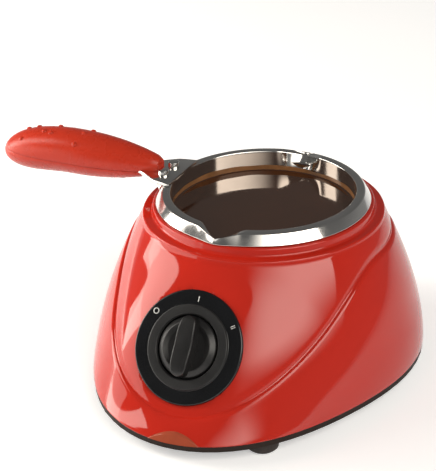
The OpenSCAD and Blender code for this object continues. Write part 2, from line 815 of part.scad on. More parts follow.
module cord_bushing() {
  wall_y = body_r(180, lead_h);
  color(BLACK) translate([0, wall_y, edge_z + lead_h]) rotate([-90, 0, 0]) difference() {
    union() {
      translate([0, 0, -shell_t - bush_tail]) cylinder(r = lead_r + bush_wall, h = shell_t + bush_tail + over);
      cylinder(r = lead_r + bush_wall + bush_flange, h = bush_flange_t);
      translate([0, 0, -shell_t - bush_tail])
        cylinder(r = lead_r + bush_wall + bush_flange / 2, h = bush_tail - 2 * bush_flange / 2);
    }
    translate([0, 0, -shell_t - bush_tail - over]) cylinder(r = lead_r, h = shell_t + bush_tail + bush_flange_t + 2 * over);
  }
}

module cord_clamp() {
  saddle_top = edge_z + lead_h - lead_r - snug;
  rise = 2 * lead_r;
  color(NYLON) translate([0, clamp_out, saddle_top]) difference() {
    translate([-clamp_l / 2, -clamp_w / 2, 0]) cube([clamp_l, clamp_w, rise + clamp_t]);
    translate([-lead_r - slack, -clamp_w, -over]) cube([2 * (lead_r + slack), 2 * clamp_w, rise + over]);
    for (side = [-1, 1]) translate([side * clamp_screw_out, 0, -over])
      cylinder(r = screw_r + screw_gap, h = rise + clamp_t + 2 * over, $fn = fine);
  }
}

module cord_clamp_screws() {
  saddle_top = edge_z + lead_h - lead_r - snug;
  top = saddle_top + 2 * lead_r + clamp_t;
  color(STEEL) for (side = [-1, 1]) translate([side * clamp_screw_out, clamp_out, top]) rotate([180, 0, 0])
    pan_screw(top - foot_h);
}

module earth_tag() {
  color(BRASS) at_turn(rear_boss_turn, liner_r - blade_w)
    translate([-blade_w / 2, -blade_w, heat_plate_z - liner_t - blade_t]) cube([blade_w, 2 * blade_w, blade_t]);
}

// Places that the wires join, as turn, radius and height.
way_z = edge_z + block_h / 2;
over_shield_z = shield_z + shield_t + wire_room;
pin_z = heat_plate_z - spigot_h - 2.5 * element_r;
pin_r = element_r / 2;
blade_z = heat_plate_z - spigot_h - thermostat_h - bridge_t - blade_l / 2;
blade_out = thermostat_r / 2 + blade_t / 2 + wire_gap;
fuse_z = heat_plate_z - spigot_h - fuse_r;
fuse_end_r = norm([fuse_l / 2 + fuse_r + wire_gap, fuse_out]);
fuse_end_turn = atan2(fuse_l / 2 + fuse_r + wire_gap, fuse_out);
switch_depth = bush_plate_t + switch_t + blade_l - switch_top + wire_gap;
// The mouth of a terminal way, back by some distance from the block's face.
function way_stop(k, back) = let(x = (k - 1) * block_l / block_ways, y = block_out - block_w / 2 - wire_gap - back)
  [block_turn + atan(x / y), norm([x, y]), way_z];
// A point on the middle line of a switch terminal, back by some distance from its end.
function switch_stop(k, back) = let(y = dial_out() - (switch_depth + back) * cos(dial_tilt), x = k * blade_step)
  [atan2(x, y), norm([x, y]), edge_z + dial_h - (switch_depth + back) * sin(dial_tilt)];

// A round wire through points that are given as turn, radius and height.
module wire(tint, stops) {
  last = len(stops) - 1;
  function stop_at(u) = let(i = min(floor(u), last - 1), t = u - i) stops[i] + (stops[i + 1] - stops[i]) * t;
  function eased(u) = (stop_at(max(u - wire_ease_share, 0)) + stop_at(u) + stop_at(min(u + wire_ease_share, last))) / 3;
  function place(u) = let(p = u <= 0 || u >= last ? stop_at(u) : eased(u)) around_at(p[0], p[1], p[2]);
  path = [for (k = [0 : wire_steps]) place(last * k / wire_steps)];
  color(tint) loft([for (k = [0 : wire_steps]) let(d = path[min(k + 1, wire_steps)] - path[max(k - 1, 0)],
    f = d / norm(d), side = abs(f[2]) > wire_steep_share ? [1, 0, 0] : [0, 0, 1],
    v0 = cross(f, side), u = v0 / norm(v0), v = cross(f, u))
    [for (j = [0 : wire_sides - 1]) let(a = 360 * j / wire_sides) path[k] + wire_r * (cos(a) * u + sin(a) * v)]]);
}

module wire_live() {
  wire(WIRE_BROWN, [way_stop(0, 0), way_stop(0, wire_room), [block_turn - element_open, block_out, way_z],
    [element_open, block_out, way_z], [element_open / 2, block_out, way_z], switch_stop(1, block_w / 2),
    switch_stop(1, 0)]);
}

module wire_neutral() {
  turn = element_open / 2;
  out = element_ring_r + element_r;
  wire(WIRE_BLUE, [way_stop(1, 0), way_stop(1, wire_r), [block_turn, shield_r + wire_r, over_shield_z],
    [block_turn - turn, out, over_shield_z],
    [2 * turn, out, over_shield_z], [turn, out + 2 * wire_r, pin_z],
    [turn, element_ring_r + pin_r + wire_gap, pin_z]]);
}

module wire_switched() {
  wire(WIRE_BLACK, [switch_stop(-1, 0), switch_stop(-1, block_w / 2), [0, liner_r, over_shield_z],
    [0, element_ring_r, over_shield_z], [0, blade_out, blade_z]]);
}

module wire_fuse() {
  wire(WIRE_BLACK, [[180, blade_out, blade_z], [180, blade_out + fuse_r, blade_z],
    [180 + 2 * fuse_end_turn, fuse_end_r, pin_z], [180 + 1.5 * fuse_end_turn, fuse_end_r + wire_r, fuse_z],
    [180 + fuse_end_turn, fuse_end_r, fuse_z]]);
}

module wire_element() {
  turn = element_open / 2;
  inner = element_ring_r - element_r - 2 * wire_r;
  wire(WIRE_BLACK, [[180 - fuse_end_turn, fuse_end_r, fuse_z], [180 - 1.5 * fuse_end_turn, fuse_end_r + wire_r, fuse_z],
    [180 - 3 * fuse_end_turn, inner, pin_z], [turn, inner, pin_z], [0, inner, pin_z],
    [-turn, inner - wire_r, pin_z], [-turn, element_ring_r - pin_r - wire_gap, pin_z]]);
}

// A point of the lens's frame, by its side, its reach in front of the axis and its height.
function lens_stop(side, reach, z) = let(r = reach - front_reach + nose_round_r,
  x = side * cos(lens_turn) + r * sin(lens_turn), y = front_reach - nose_round_r - side * sin(lens_turn)
  + r * cos(lens_turn)) [atan2(x, y), norm([x, y]), z];

module wire_lamp() {
  side = lamp_l / 2 + wire_r + wire_gap;
  low = edge_z + holder_rise;
  wire(WIRE_BLACK, [switch_stop(0, 0), switch_stop(0, block_w / 2), lens_stop(side, block_out, low),
    lens_stop(side, -lamp_y - lamp_back, low), lens_stop(side, -lamp_y - holder_rise, low),
    lens_stop(side, -lamp_y, low + lamp_r)]);
}

module wire_earth() {
  wire(WIRE_GREEN, [way_stop(2, 0), way_stop(2, wire_r), [rear_boss_turn, shield_r + wire_r, over_shield_z],
    [rear_boss_turn, liner_r - blade_w, over_shield_z + wire_room],
    [rear_boss_turn, liner_r - blade_w, heat_plate_z - liner_t - blade_t - wire_gap]]);
}

// Pot and handle
floor_r = lip_r - pot_draft;
floor_round = 6;
spout_bite = 4;
spout_sink = 0.8;

module bowl_profile() {
  base_z = pot_bottom_z;
  drop_x = pot_wall * norm([rim_skirt_w, rim_drop]) / rim_drop;
  polygon(concat([[0, base_z]],
    [for (a = [-90 : 15 : 0]) [floor_r + pot_wall - floor_round + floor_round * cos(a),
      base_z + floor_round + floor_round * sin(a)]],
    [[lip_r + pot_wall, lip_z - pot_depth / 3], [lip_r + pot_wall, lip_z - pot_wall],
      [rim_mid_r - pot_wall / 2, lip_z - pot_wall], [rim_out_r - drop_x, lip_z - rim_drop],
      [rim_out_r, lip_z - rim_drop], [rim_mid_r, lip_z], [lip_r, lip_z], [lip_r, lip_z - pot_depth / 3]],
    [for (a = [0 : -15 : -90]) [floor_r - floor_round + pot_wall + (floor_round - pot_wall) * cos(a),
      base_z + floor_round + (floor_round - pot_wall) * sin(a)]],
    [[0, base_z + pot_wall]]));
}

// The wall of a pouring lip: a wedge that falls from the mouth to the tip, grown by the wall.
module spout_wall() {
  half = spout_half_w + pot_wall;
  root = lip_r + pot_wall / 2;
  tip_z = lip_z - spout_drop;
  polyhedron([[-half, -root, lip_z], [half, -root, lip_z], [0, -lip_r - spout_reach - pot_wall, tip_z],
    [0, -root, tip_z - spout_sink - pot_wall]], [[0, 1, 2], [0, 3, 1], [1, 3, 2], [0, 2, 3]]);
}

// What a pouring lip leaves open, up past the lip.
module spout_cut() {
  root = lip_r - spout_bite;
  tip = lip_r + spout_reach;
  tip_z = lip_z - spout_drop;
  polyhedron([[-spout_half_w, -root, lip_z], [spout_half_w, -root, lip_z], [0, -tip, tip_z],
    [0, -root, tip_z - spout_sink], [-spout_half_w, -root, lip_z + over], [spout_half_w, -root, lip_z + over],
    [0, -tip, lip_z + over]], [[0, 3, 1, 5, 4], [0, 2, 3], [1, 3, 2], [4, 5, 6], [0, 4, 6, 2], [1, 2, 6, 5]]);
}

module both_spouts() {
  children();
  mirror([0, 1, 0]) children();
}

module pot_bowl() {
  color(STEEL) difference() {
    union() {
      difference() {
        rotate_extrude() bowl_profile();
        translate([-lug_out, -lug_half_w, lip_z - 2 * rim_drop])
          cube([lug_out - rim_mid_r - nudge, 2 * lug_half_w, 2 * rim_drop - lug_t]);
      }
      translate([-lug_out, -lug_half_w, lip_z - lug_t])
        cube([lug_out - rim_mid_r + rim_flat_w / 2, 2 * lug_half_w, lug_t]);
      both_spouts() spout_wall();
    }
    both_spouts() spout_cut();
    for (side = [-1, 1]) translate([-rivet_out, side * rivet_side, lip_z - 2 * rim_drop])
      cylinder(r = rivet_r + snug, h = 3 * rim_drop, $fn = fine);
  }
}

bracket_top = lip_z + bracket_t;

module handle_bracket() {
  tang_end = tang_out - tang_half_w;
  color(STEEL) difference() {
    union() {
      translate([0, 0, lip_z]) linear_extrude(bracket_t) union() {
        polygon([[-bracket_in + bracket_t, bracket_half_w], [-bracket_mouth_out, bracket_half_w - bracket_t],
          [-bracket_neck_out, bracket_neck_w], [-bracket_neck_out - bracket_neck_w / 2, tang_half_w],
          [-tang_end, tang_half_w], [-tang_end, -tang_half_w],
          [-bracket_neck_out - bracket_neck_w / 2, -tang_half_w], [-bracket_neck_out, -bracket_neck_w],
          [-bracket_mouth_out, -bracket_half_w + bracket_t], [-bracket_in + bracket_t, -bracket_half_w]]);
        translate([-tang_end, 0]) circle(r = tang_half_w);
      }
      for (side = [-1, 1]) translate([0, 0, lip_z - bracket_flange]) linear_extrude(bracket_flange + bracket_t)
        polygon([[-flange_start_out, side * (bracket_half_w - 1.5 * bracket_t)],
          [-bracket_neck_out, side * bracket_neck_w], [-bracket_neck_out, side * (bracket_neck_w - bracket_t)],
          [-flange_start_out, side * (bracket_half_w - 2.5 * bracket_t)]]);
    }
    translate([0, 0, lip_z - over]) cylinder(r = lip_r + pot_wall, h = bracket_t + 2 * over);
    for (side = [-1, 1]) translate([-rivet_out, side * rivet_side, lip_z - over])
      cylinder(r = rivet_r + snug, h = bracket_t + 2 * over, $fn = fine);
    for (out = grip_screw_outs) translate([-out, 0, lip_z - over])
      cylinder(r = screw_r + slack, h = bracket_t + 2 * over, $fn = fine);
  }
}

module bracket_rivets() {
  low = lip_z - lug_t - rivet_tail_h;
  color(STEEL) for (side = [-1, 1]) translate([-rivet_out, side * rivet_side, 0]) {
    translate([0, 0, low]) cylinder(r = rivet_r, h = bracket_top - low + rivet_head_h / 2, $fn = fine);
    translate([0, 0, low]) cylinder(r = rivet_tail_r, h = rivet_tail_h, $fn = fine);
    translate([0, 0, bracket_top]) rotate_extrude($fn = fine) polygon([[0, 0], [rivet_head_r, 0],
      [rivet_head_r, rivet_head_h - rivet_bevel], [rivet_head_r - rivet_bevel, rivet_head_h], [0, rivet_head_h]]);
  }
}

// Radius and height of the grip's centre line at a share of its length.
function grip_radius(t) = let(n = min(t / neck_share, 1),
    e = t <= tip_start_share ? 0 : (t - tip_start_share) / (1 - tip_start_share))
  (grip_neck_r + (grip_r - grip_neck_r) * sin(90 * pow(n, neck_power))) * sqrt(max(1 - pow(e, tip_power), 0));
function grip_mid_z(t) = lip_z + grip_lift - grip_sag * (t <= sag_start_share ? 0
  : pow((t - sag_start_share) / (1 - sag_start_share), sag_power));
function grip_ring(t, r) = [for (j = [0 : grip_sides - 1]) let(a = 360 * j / grip_sides)
  [-grip_in - (grip_out - grip_in) * t, -r * cos(a), grip_mid_z(t) + r * sin(a)]];

module grip_outer() {
  loft([for (k = [0 : grip_rings]) let(t = sin(90 * k / grip_rings), r = max(grip_radius(t), tip_r)) grip_ring(t, r)]);
}

module grip_hollow() {
  loft([for (k = [0 : cavity_rings_grip])
    let(t = cavity_in_share + (cavity_out_share - cavity_in_share) * k / cavity_rings_grip)
    grip_ring(t, grip_radius(t) - grip_wall)]);
}

module grip_bosses() {
  intersection() {
    grip_outer();
    for (out = grip_screw_outs) translate([-out, 0, lip_z - 2 * grip_r]) cylinder(r = grip_boss_r, h = 4 * grip_r);
  }
}

module grip_shell() {
  difference() {
    grip_outer();
    grip_hollow();
  }
  grip_bosses();
}

module handle_upper() {
  color(GRIP_RED) difference() {
    grip_shell();
    translate([-grip_out - over, -2 * grip_r, lip_z - 3 * grip_r]) cube([2 * grip_out, 4 * grip_r, 3 * grip_r]);
    translate([-tang_out - tang_gap, -tang_half_w - tang_gap, lip_z - over])
      cube([tang_out, 2 * (tang_half_w + tang_gap), bracket_t + tang_gap / 2 + over]);
    translate([-bracket_neck_out - bracket_neck_w, -2 * grip_r, lip_z - over])
      cube([bracket_neck_w + bracket_neck_out - grip_in, 4 * grip_r, bracket_t + tang_gap / 2 + over]);
    for (out = grip_screw_outs) translate([-out, 0, lip_z]) cylinder(r = screw_r + screw_gap, h = grip_r / 2, $fn = fine);
  }
}

module handle_lower() {
  color(GRIP_RED) difference() {
    grip_shell();
    translate([-grip_out - over, -2 * grip_r, lip_z]) cube([2 * grip_out, 4 * grip_r, 3 * grip_r]);
    translate([-bracket_neck_out - tang_gap, -2 * grip_r, lip_z - bracket_flange - tang_gap])
      cube([bracket_neck_out, 4 * grip_r, 2 * grip_r]);
    for (out = grip_screw_outs) translate([-out, 0, lip_z - 2 * grip_r]) {
      cylinder(r = screw_r + screw_gap, h = 3 * grip_r, $fn = fine);
      cylinder(r = screw_head_r + snug, h = 2 * grip_r - grip_boss_share * grip_r, $fn = fine);
    }
  }
}

module handle_screws() {
  color(STEEL) for (out = grip_screw_outs) translate([-out, 0, lip_z - grip_boss_share * grip_r])
    pan_screw(grip_boss_share * grip_r + grip_r / 2 - screw_gap);
}

housing();
base_plate();
feet();
base_screws();
well_liner();
heating_plate();
heating_element();
thermostat();
thermostat_bridge();
thermal_fuse();
fuse_clip();
stud_nuts();
heat_shield();
well_standoffs();
standoff_screws();
dial_plate();
switch_body();
switch_bush();
switch_nut();
switch_terminals();
switch_spindle();
knob();
indicator_lens();
neon_lamp();
lamp_holder();
terminal_block();
terminal_screws();
cord_bushing();
cord_clamp();
cord_clamp_screws();
earth_tag();
wire_live();
wire_neutral();
wire_switched();
wire_fuse();
wire_element();
wire_lamp();
wire_earth();
pot_bowl();
handle_bracket();
bracket_rivets();
handle_upper();
handle_lower();
handle_screws();
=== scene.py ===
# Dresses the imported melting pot: smooth shells, pressed steel, moulded plastic, lamps and camera.
import json
import math
import bpy
import numpy as np
from mathutils import Matrix, Quaternion, Vector


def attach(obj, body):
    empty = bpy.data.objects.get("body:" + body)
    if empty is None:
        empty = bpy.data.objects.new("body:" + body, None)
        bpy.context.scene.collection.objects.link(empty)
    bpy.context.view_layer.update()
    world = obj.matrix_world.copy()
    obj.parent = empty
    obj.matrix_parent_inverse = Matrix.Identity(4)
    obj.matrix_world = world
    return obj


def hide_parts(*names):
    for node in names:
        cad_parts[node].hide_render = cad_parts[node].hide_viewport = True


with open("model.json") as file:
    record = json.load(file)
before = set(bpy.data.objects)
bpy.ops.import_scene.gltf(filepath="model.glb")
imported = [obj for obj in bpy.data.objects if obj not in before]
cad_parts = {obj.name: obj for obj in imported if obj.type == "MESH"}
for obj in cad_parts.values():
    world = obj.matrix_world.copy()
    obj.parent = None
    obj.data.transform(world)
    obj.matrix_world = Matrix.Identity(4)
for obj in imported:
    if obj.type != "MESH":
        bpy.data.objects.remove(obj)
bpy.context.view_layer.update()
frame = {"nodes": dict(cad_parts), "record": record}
MM = 0.001
PI = math.pi

# Shared sizes, in millimetres. They repeat the part's own.
EDGE_Z, BODY_H = 10.0, 72.0                    # the housing's lower edge, and its height up to the collar
COLLAR_FOOT_Z, COLLAR_Z = 82.0, 86.0
LIP_Z = 92.0                                   # the pot's rim
DIAL_C = np.array([0.0, -89.976, 45.9])
TILT = math.radians(35)                        # how far the dial leans back
DIAL_N = np.array([0.0, -math.cos(TILT), math.sin(TILT)])
DIAL_V = np.array([0.0, math.sin(TILT), math.cos(TILT)])
DIAL_U = np.array([1.0, 0.0, 0.0])
SHOULDER_R, SHELL_T = 62.2, 2.8
DIAL_R = 28.4
TRIM = 0.035                                   # the shell stays this far inside its solid


def smooth(t):
    """An even step from nought to one."""
    t = np.clip(t, 0.0, 1.0)
    return t * t * (3 - 2 * t)


def plan_r(a):
    """Radius of the housing's hem at a turn from the front."""
    c = np.cos(a)
    return 87.5 + 33.3 * ((1 + c) / 2) ** 8.3 - 7.5 * ((1 - c) / 2) ** 2.5


def fall(a):
    """How the housing's side curves up from hem to shoulder."""
    c = np.cos(a)
    return 1.79 - 0.89 * np.maximum(c, 0) ** 2 - 0.19 * np.maximum(-c, 0) ** 2


def body_r(a, h):
    """Radius of the housing at a turn and a height above its edge."""
    return SHOULDER_R + (plan_r(a) - SHOULDER_R) * (1 - (np.maximum(h, 0) / BODY_H) ** fall(a))


def groove_h(a):
    """Height of the swept groove above the housing's edge."""
    wrapped = np.abs((a + PI) % (2 * PI) - PI)
    return 9.5 + 51.5 * (1 - np.cos(PI * np.minimum(wrapped / math.radians(83), 1))) / 2


# Mesh helpers.
def mesh_object(name, points, faces, body, material, replaced=(), sharp=None):
    """A piece from points in millimetres, riding on a body."""
    data = bpy.data.meshes.new(name)
    data.from_pydata([tuple(p) for p in np.asarray(points, float) * MM], [], faces)
    data.validate()
    data.polygons.foreach_set("use_smooth", [True] * len(data.polygons))
    obj = bpy.data.objects.new(name, data)
    bpy.context.scene.collection.objects.link(obj)
    if sharp is not None:
        data.set_sharp_from_angle(angle=math.radians(sharp))
    data.materials.append(material)
    if body:
        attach(obj, body)
    if replaced:
        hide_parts(*replaced)
    return obj


def loop_faces(m, n, close_m=False, flip=False):
    """Quads between m rings of n points each; close_m joins the last ring to the first."""
    faces = []
    for i in range(m if close_m else m - 1):
        k = (i + 1) % m
        for j in range(n):
            l = (j + 1) % n
            q = [i * n + j, i * n + l, k * n + l, k * n + j]
            faces.append(q[::-1] if flip else q)
    return faces


def capped_loft(rings, flip=False):
    """A closed solid through rings; each end closes with a fan to its middle."""
    rings = np.asarray(rings, float)
    m, n = rings.shape[:2]
    points = [tuple(p) for p in rings.reshape(-1, 3)]
    faces = loop_faces(m, n, flip=flip)
    for i, turn in ((0, not flip), (m - 1, flip)):
        points.append(tuple(rings[i].mean(0)))
        c = len(points) - 1
        for j in range(n):
            l = (j + 1) % n
            t = [i * n + j, i * n + l, c]
            faces.append(t[::-1] if turn else t)
    return points, faces


def corner(points, radii, steps=5):
    """A polyline with its corners rounded, as an array of points."""
    points = [np.array(p, float) for p in points]
    out = []
    for i, (p, r) in enumerate(zip(points, radii, strict=True)):
        if i in (0, len(points) - 1) or r <= 0:
            out.append(p)
            continue
        a, b = points[i - 1] - p, points[i + 1] - p
        la, lb = np.linalg.norm(a), np.linalg.norm(b)
        a, b = a / la, b / lb
        half = math.acos(float(np.clip(a @ b, -1, 1))) / 2
        d = min(r / math.tan(half), la * 0.49, lb * 0.49)
        r = d * math.tan(half)
        centre = p + (a + b) / np.linalg.norm(a + b) * (r / math.sin(half))
        s, e = p + a * d - centre, p + b * d - centre
        for k in range(steps + 1):
            w = k / steps
            q = s * (1 - w) + e * w
            out.append(centre + q / np.linalg.norm(q) * r)
    return np.array(out)


def lathe(profile, n, centre=(0, 0, 0), axes=None):
    """Revolves (radius, height) points; a point on the axis becomes one point."""
    profile = np.asarray(profile, float)
    centre = np.array(centre, float)
    u, v, w = axes if axes is not None else np.eye(3)
    points, faces, rows = [], [], []
    for r, z in profile:
        if r < 1e-6:
            rows.append([len(points)])
            points.append(centre + w * z)
        else:
            rows.append(list(range(len(points), len(points) + n)))
            for j in range(n):
                a = 2 * PI * j / n
                points.append(centre + u * (r * math.cos(a)) + v * (r * math.sin(a)) + w * z)
    closed = not (len(rows[0]) == 1 and len(rows[-1]) == 1)
    for i in range(len(rows) if closed else len(rows) - 1):
        a, b = rows[i], rows[(i + 1) % len(rows)]
        for j in range(n):
            k = (j + 1) % n
            if len(a) == 1:
                faces.append([a[0], b[k], b[j]])
            elif len(b) == 1:
                faces.append([a[j], a[k], b[0]])
            else:
                faces.append([a[j], a[k], b[k], b[j]])
    return points, faces


def joined(*parts):
    """Several (points, faces) as one."""
    points, faces = [], []
    for p, f in parts:
        base = len(points)
        points += [tuple(q) for q in p]
        faces += [[i + base for i in g] for g in f]
    return points, faces


def dial_frame(points):
    """From the dial's own frame, with its face at nought, to the part's."""
    points = np.asarray(points, float)
    return DIAL_C + points[:, :1] * DIAL_U + points[:, 1:2] * DIAL_V + points[:, 2:3] * DIAL_N


def cut(obj, points, faces, name):
    """Takes a closed solid, in millimetres, out of a piece."""
    data = bpy.data.meshes.new(name)
    data.from_pydata([tuple(p) for p in np.asarray(points, float) * MM], [], faces)
    data.validate()
    tool = bpy.data.objects.new(name, data)
    bpy.context.scene.collection.objects.link(tool)
    mod = obj.modifiers.new("cut", "BOOLEAN")
    mod.operation, mod.solver, mod.object = "DIFFERENCE", "EXACT", tool
    bpy.context.view_layer.update()
    done = bpy.data.meshes.new_from_object(obj.evaluated_get(bpy.context.evaluated_depsgraph_get()))
    obj.modifiers.clear()
    old = obj.data
    obj.data = done
    bpy.data.meshes.remove(old)
    bpy.data.objects.remove(tool)


def reshade(obj, sharp):
    """Smooth faces with sharp edges above an angle, as a cut leaves them flat."""
    obj.data.polygons.foreach_set("use_smooth", [True] * len(obj.data.polygons))
    obj.data.set_sharp_from_angle(angle=math.radians(sharp))


# Materials.
def node(tree, kind, **values):
    """A new node with its inputs or settings given by name."""
    made = tree.nodes.new(kind)
    for key, value in values.items():
        if key in made.inputs:
            made.inputs[key].default_value = value
        else:
            setattr(made, key, value)
    return made


def material(name, colour, rough=0.4, metal=0.0, spread=0.06, scale=60.0, rough_spread=0.05, bump=0.0,
             bump_scale=400.0, specular=0.5, ior=1.5, transmission=0.0, stretch=(1, 1, 1), wear=0.0,
             subsurface=0.0, gloss_tint=None):
    """A procedural finish: mottled colour, uneven gloss and a fine surface."""
    mat = bpy.data.materials.new(name)
    mat.use_nodes = True
    tree = mat.node_tree
    tree.nodes.clear()
    out = node(tree, "ShaderNodeOutputMaterial")
    shader = node(tree, "ShaderNodeBsdfPrincipled")
    tree.links.new(shader.outputs["BSDF"], out.inputs["Surface"])
    shader.inputs["Metallic"].default_value = metal
    shader.inputs["IOR"].default_value = ior
    shader.inputs["Specular IOR Level"].default_value = specular
    shader.inputs["Transmission Weight"].default_value = transmission
    shader.inputs["Subsurface Weight"].default_value = subsurface
    if gloss_tint:
        shader.inputs["Specular Tint"].default_value = (*gloss_tint, 1)
    if subsurface:
        shader.inputs["Subsurface Radius"].default_value = (0.004, 0.002, 0.001)
        shader.inputs["Subsurface Scale"].default_value = 1.0
    place = node(tree, "ShaderNodeTexCoord")
    mapping = node(tree, "ShaderNodeMapping")
    mapping.inputs["Scale"].default_value = stretch
    tree.links.new(place.outputs["Object"], mapping.inputs["Vector"])

    def noise(size, detail=3.0, roughness=0.55):
        made = node(tree, "ShaderNodeTexNoise")
        made.inputs["Scale"].default_value = size
        made.inputs["Detail"].default_value = detail
        made.inputs["Roughness"].default_value = roughness
        tree.links.new(mapping.outputs["Vector"], made.inputs["Vector"])
        return made

    mottle = noise(scale)
    ramp = node(tree, "ShaderNodeValToRGB")
    dark = [max(c * (1 - spread), 0) for c in colour]
    light = [min(c * (1 + spread), 1) for c in colour]
    ramp.color_ramp.elements[0].position, ramp.color_ramp.elements[1].position = 0.3, 0.7
    ramp.color_ramp.elements[0].color = (*dark, 1)
    ramp.color_ramp.elements[1].color = (*light, 1)
    tree.links.new(mottle.outputs["Fac"], ramp.inputs["Fac"])
    colour_out = ramp.outputs["Color"]
    if wear:
        geometry = node(tree, "ShaderNodeNewGeometry")
        edge = node(tree, "ShaderNodeMapRange")
        edge.inputs["From Min"].default_value, edge.inputs["From Max"].default_value = 0.52, 0.62
        edge.inputs["To Max"].default_value = wear
        tree.links.new(geometry.outputs["Pointiness"], edge.inputs["Value"])
        mix = node(tree, "ShaderNodeMix", data_type="RGBA")
        tree.links.new(edge.outputs["Result"], mix.inputs["Factor"])
        tree.links.new(colour_out, mix.inputs["A"])
        mix.inputs["B"].default_value = (*[min(c * 1.6 + 0.02, 1) for c in colour], 1)
        colour_out = mix.outputs["Result"]
    tree.links.new(colour_out, shader.inputs["Base Color"])
    gloss = noise(scale * 2.3, 4.0)
    span = node(tree, "ShaderNodeMapRange")
    span.inputs["From Min"].default_value, span.inputs["From Max"].default_value = 0.3, 0.7
    span.inputs["To Min"].default_value = max(rough - rough_spread, 0.02)
    span.inputs["To Max"].default_value = rough + rough_spread
    tree.links.new(gloss.outputs["Fac"], span.inputs["Value"])
    tree.links.new(span.outputs["Result"], shader.inputs["Roughness"])
    if bump:
        grain = noise(bump_scale, 2.0, 0.5)
        lift = node(tree, "ShaderNodeBump")
        lift.inputs["Strength"].default_value = bump
        lift.inputs["Distance"].default_value = 0.0002
        tree.links.new(grain.outputs["Fac"], lift.inputs["Height"])
        tree.links.new(lift.outputs["Normal"], shader.inputs["Normal"])
    return mat


M = {
    "red_shell": material(
        "gloss_red_abs", (0.52, 0.021, 0.010), rough=0.055, rough_spread=0.012, spread=0.03, scale=24,
        bump=0.012, bump_scale=160, ior=1.52),
    "red_grip": material(
        "satin_red_grip", (0.52, 0.034, 0.013), rough=0.28, rough_spread=0.04, spread=0.05, scale=50,
        bump=0.10, bump_scale=900, specular=0.35),
    "dark_base": material(
        "moulded_brown_base", (0.020, 0.012, 0.009), specular=0.2, rough=0.60, spread=0.12, bump=0.25,
        bump_scale=1400),
    "foot_rubber": material(
        "foot_rubber", (0.022, 0.015, 0.012), rough=0.62, spread=0.15, bump=0.3, bump_scale=1100),
    "zinc_screws": material(
        "zinc_plated", (0.62, 0.61, 0.58), rough=0.30, metal=1.0, spread=0.10, rough_spread=0.10,
        scale=220, bump=0.08, bump_scale=900, wear=0.3),
    "polished_steel": material(
        "polished_stainless", (0.74, 0.725, 0.70), rough=0.12, metal=1.0, spread=0.03,
        rough_spread=0.03, scale=90, bump=0.02, bump_scale=260),
    "cast_plate": material(
        "cast_aluminium", (0.56, 0.56, 0.57), rough=0.42, metal=1.0, spread=0.10, rough_spread=0.1,
        scale=140, bump=0.3, bump_scale=800),
    "element_sheath": material(
        "heater_sheath", (0.10, 0.10, 0.105), rough=0.45, metal=0.8, spread=0.2, scale=180, bump=0.2,
        bump_scale=900),
    "pressed_steel": material(
        "pressed_steel", (0.56, 0.57, 0.58), rough=0.34, metal=1.0, spread=0.06, rough_spread=0.08,
        scale=120, stretch=(1, 8, 1), bump=0.1, bump_scale=500),
    "ceramic": material(
        "steatite", (0.80, 0.78, 0.72), rough=0.5, spread=0.05, scale=200, bump=0.2, bump_scale=1200),
    "nylon": material(
        "natural_nylon", (0.74, 0.71, 0.63), rough=0.45, spread=0.04, scale=90, bump=0.1,
        bump_scale=900, subsurface=0.1),
    "brass": material(
        "plain_brass", (0.70, 0.50, 0.22), rough=0.3, metal=1.0, spread=0.08, scale=160,
        rough_spread=0.08, bump=0.06, bump_scale=700),
    "dial_black": material(
        "gloss_black_dial", (0.006, 0.0065, 0.0075), rough=0.16, rough_spread=0.03, spread=0.2,
        bump=0.03, bump_scale=500),
    "dial_satin": material(
        "satin_dial_ring", (0.015, 0.015, 0.0155), rough=0.42, spread=0.1, bump=0.12, bump_scale=1600),
    "knob_black": material(
        "satin_black_knob", (0.010, 0.0097, 0.010), rough=0.36, spread=0.12, bump=0.10, bump_scale=1500),
    "lens": material(
        "lamp_lens", (0.44, 0.085, 0.040), rough=0.14, spread=0.08, scale=120, transmission=0.15,
        ior=1.49, bump=0.05, bump_scale=600),
    "lamp_glass": material(
        "lamp_glass", (0.95, 0.70, 0.50), rough=0.05, transmission=0.9, ior=1.46, rough_spread=0.01),
    "bushing_rubber": material(
        "bushing_rubber", (0.018, 0.017, 0.017), rough=0.6, spread=0.12, bump=0.25, bump_scale=900),
    "wire_brown": material("brown_sleeve", (0.16, 0.06, 0.02), rough=0.5, bump=0.1, bump_scale=700),
    "wire_blue": material("blue_sleeve", (0.02, 0.08, 0.36), rough=0.5, bump=0.1, bump_scale=700),
    "wire_black": material("black_sleeve", (0.015, 0.015, 0.015), rough=0.5, bump=0.1, bump_scale=700),
    "wire_green": material("green_sleeve", (0.08, 0.30, 0.03), rough=0.5, bump=0.1, bump_scale=700),
    "mark_white": material(
        "printed_white", (0.72, 0.72, 0.70), rough=0.5, spread=0.04, scale=400, bump=0.05),
    "chocolate": material(
        "melted_chocolate", (0.034, 0.011, 0.005), rough=0.07, rough_spread=0.02, spread=0.12, scale=40,
        bump=0.02, bump_scale=90, ior=2.4, gloss_tint=(1.0, 0.80, 0.66)),
    "film": material(
        "chocolate_film", (0.21, 0.095, 0.038), rough=0.16, rough_spread=0.05, spread=0.35, scale=70),
}

# What isn't replaced below keeps its own solid and takes its finish.
slots = {part["node"]: part["material_slot"] for part in frame["record"]["subparts"]}
for name, obj in frame["nodes"].items():
    obj.data.materials.clear()
    obj.data.materials.append(M[slots[name]])

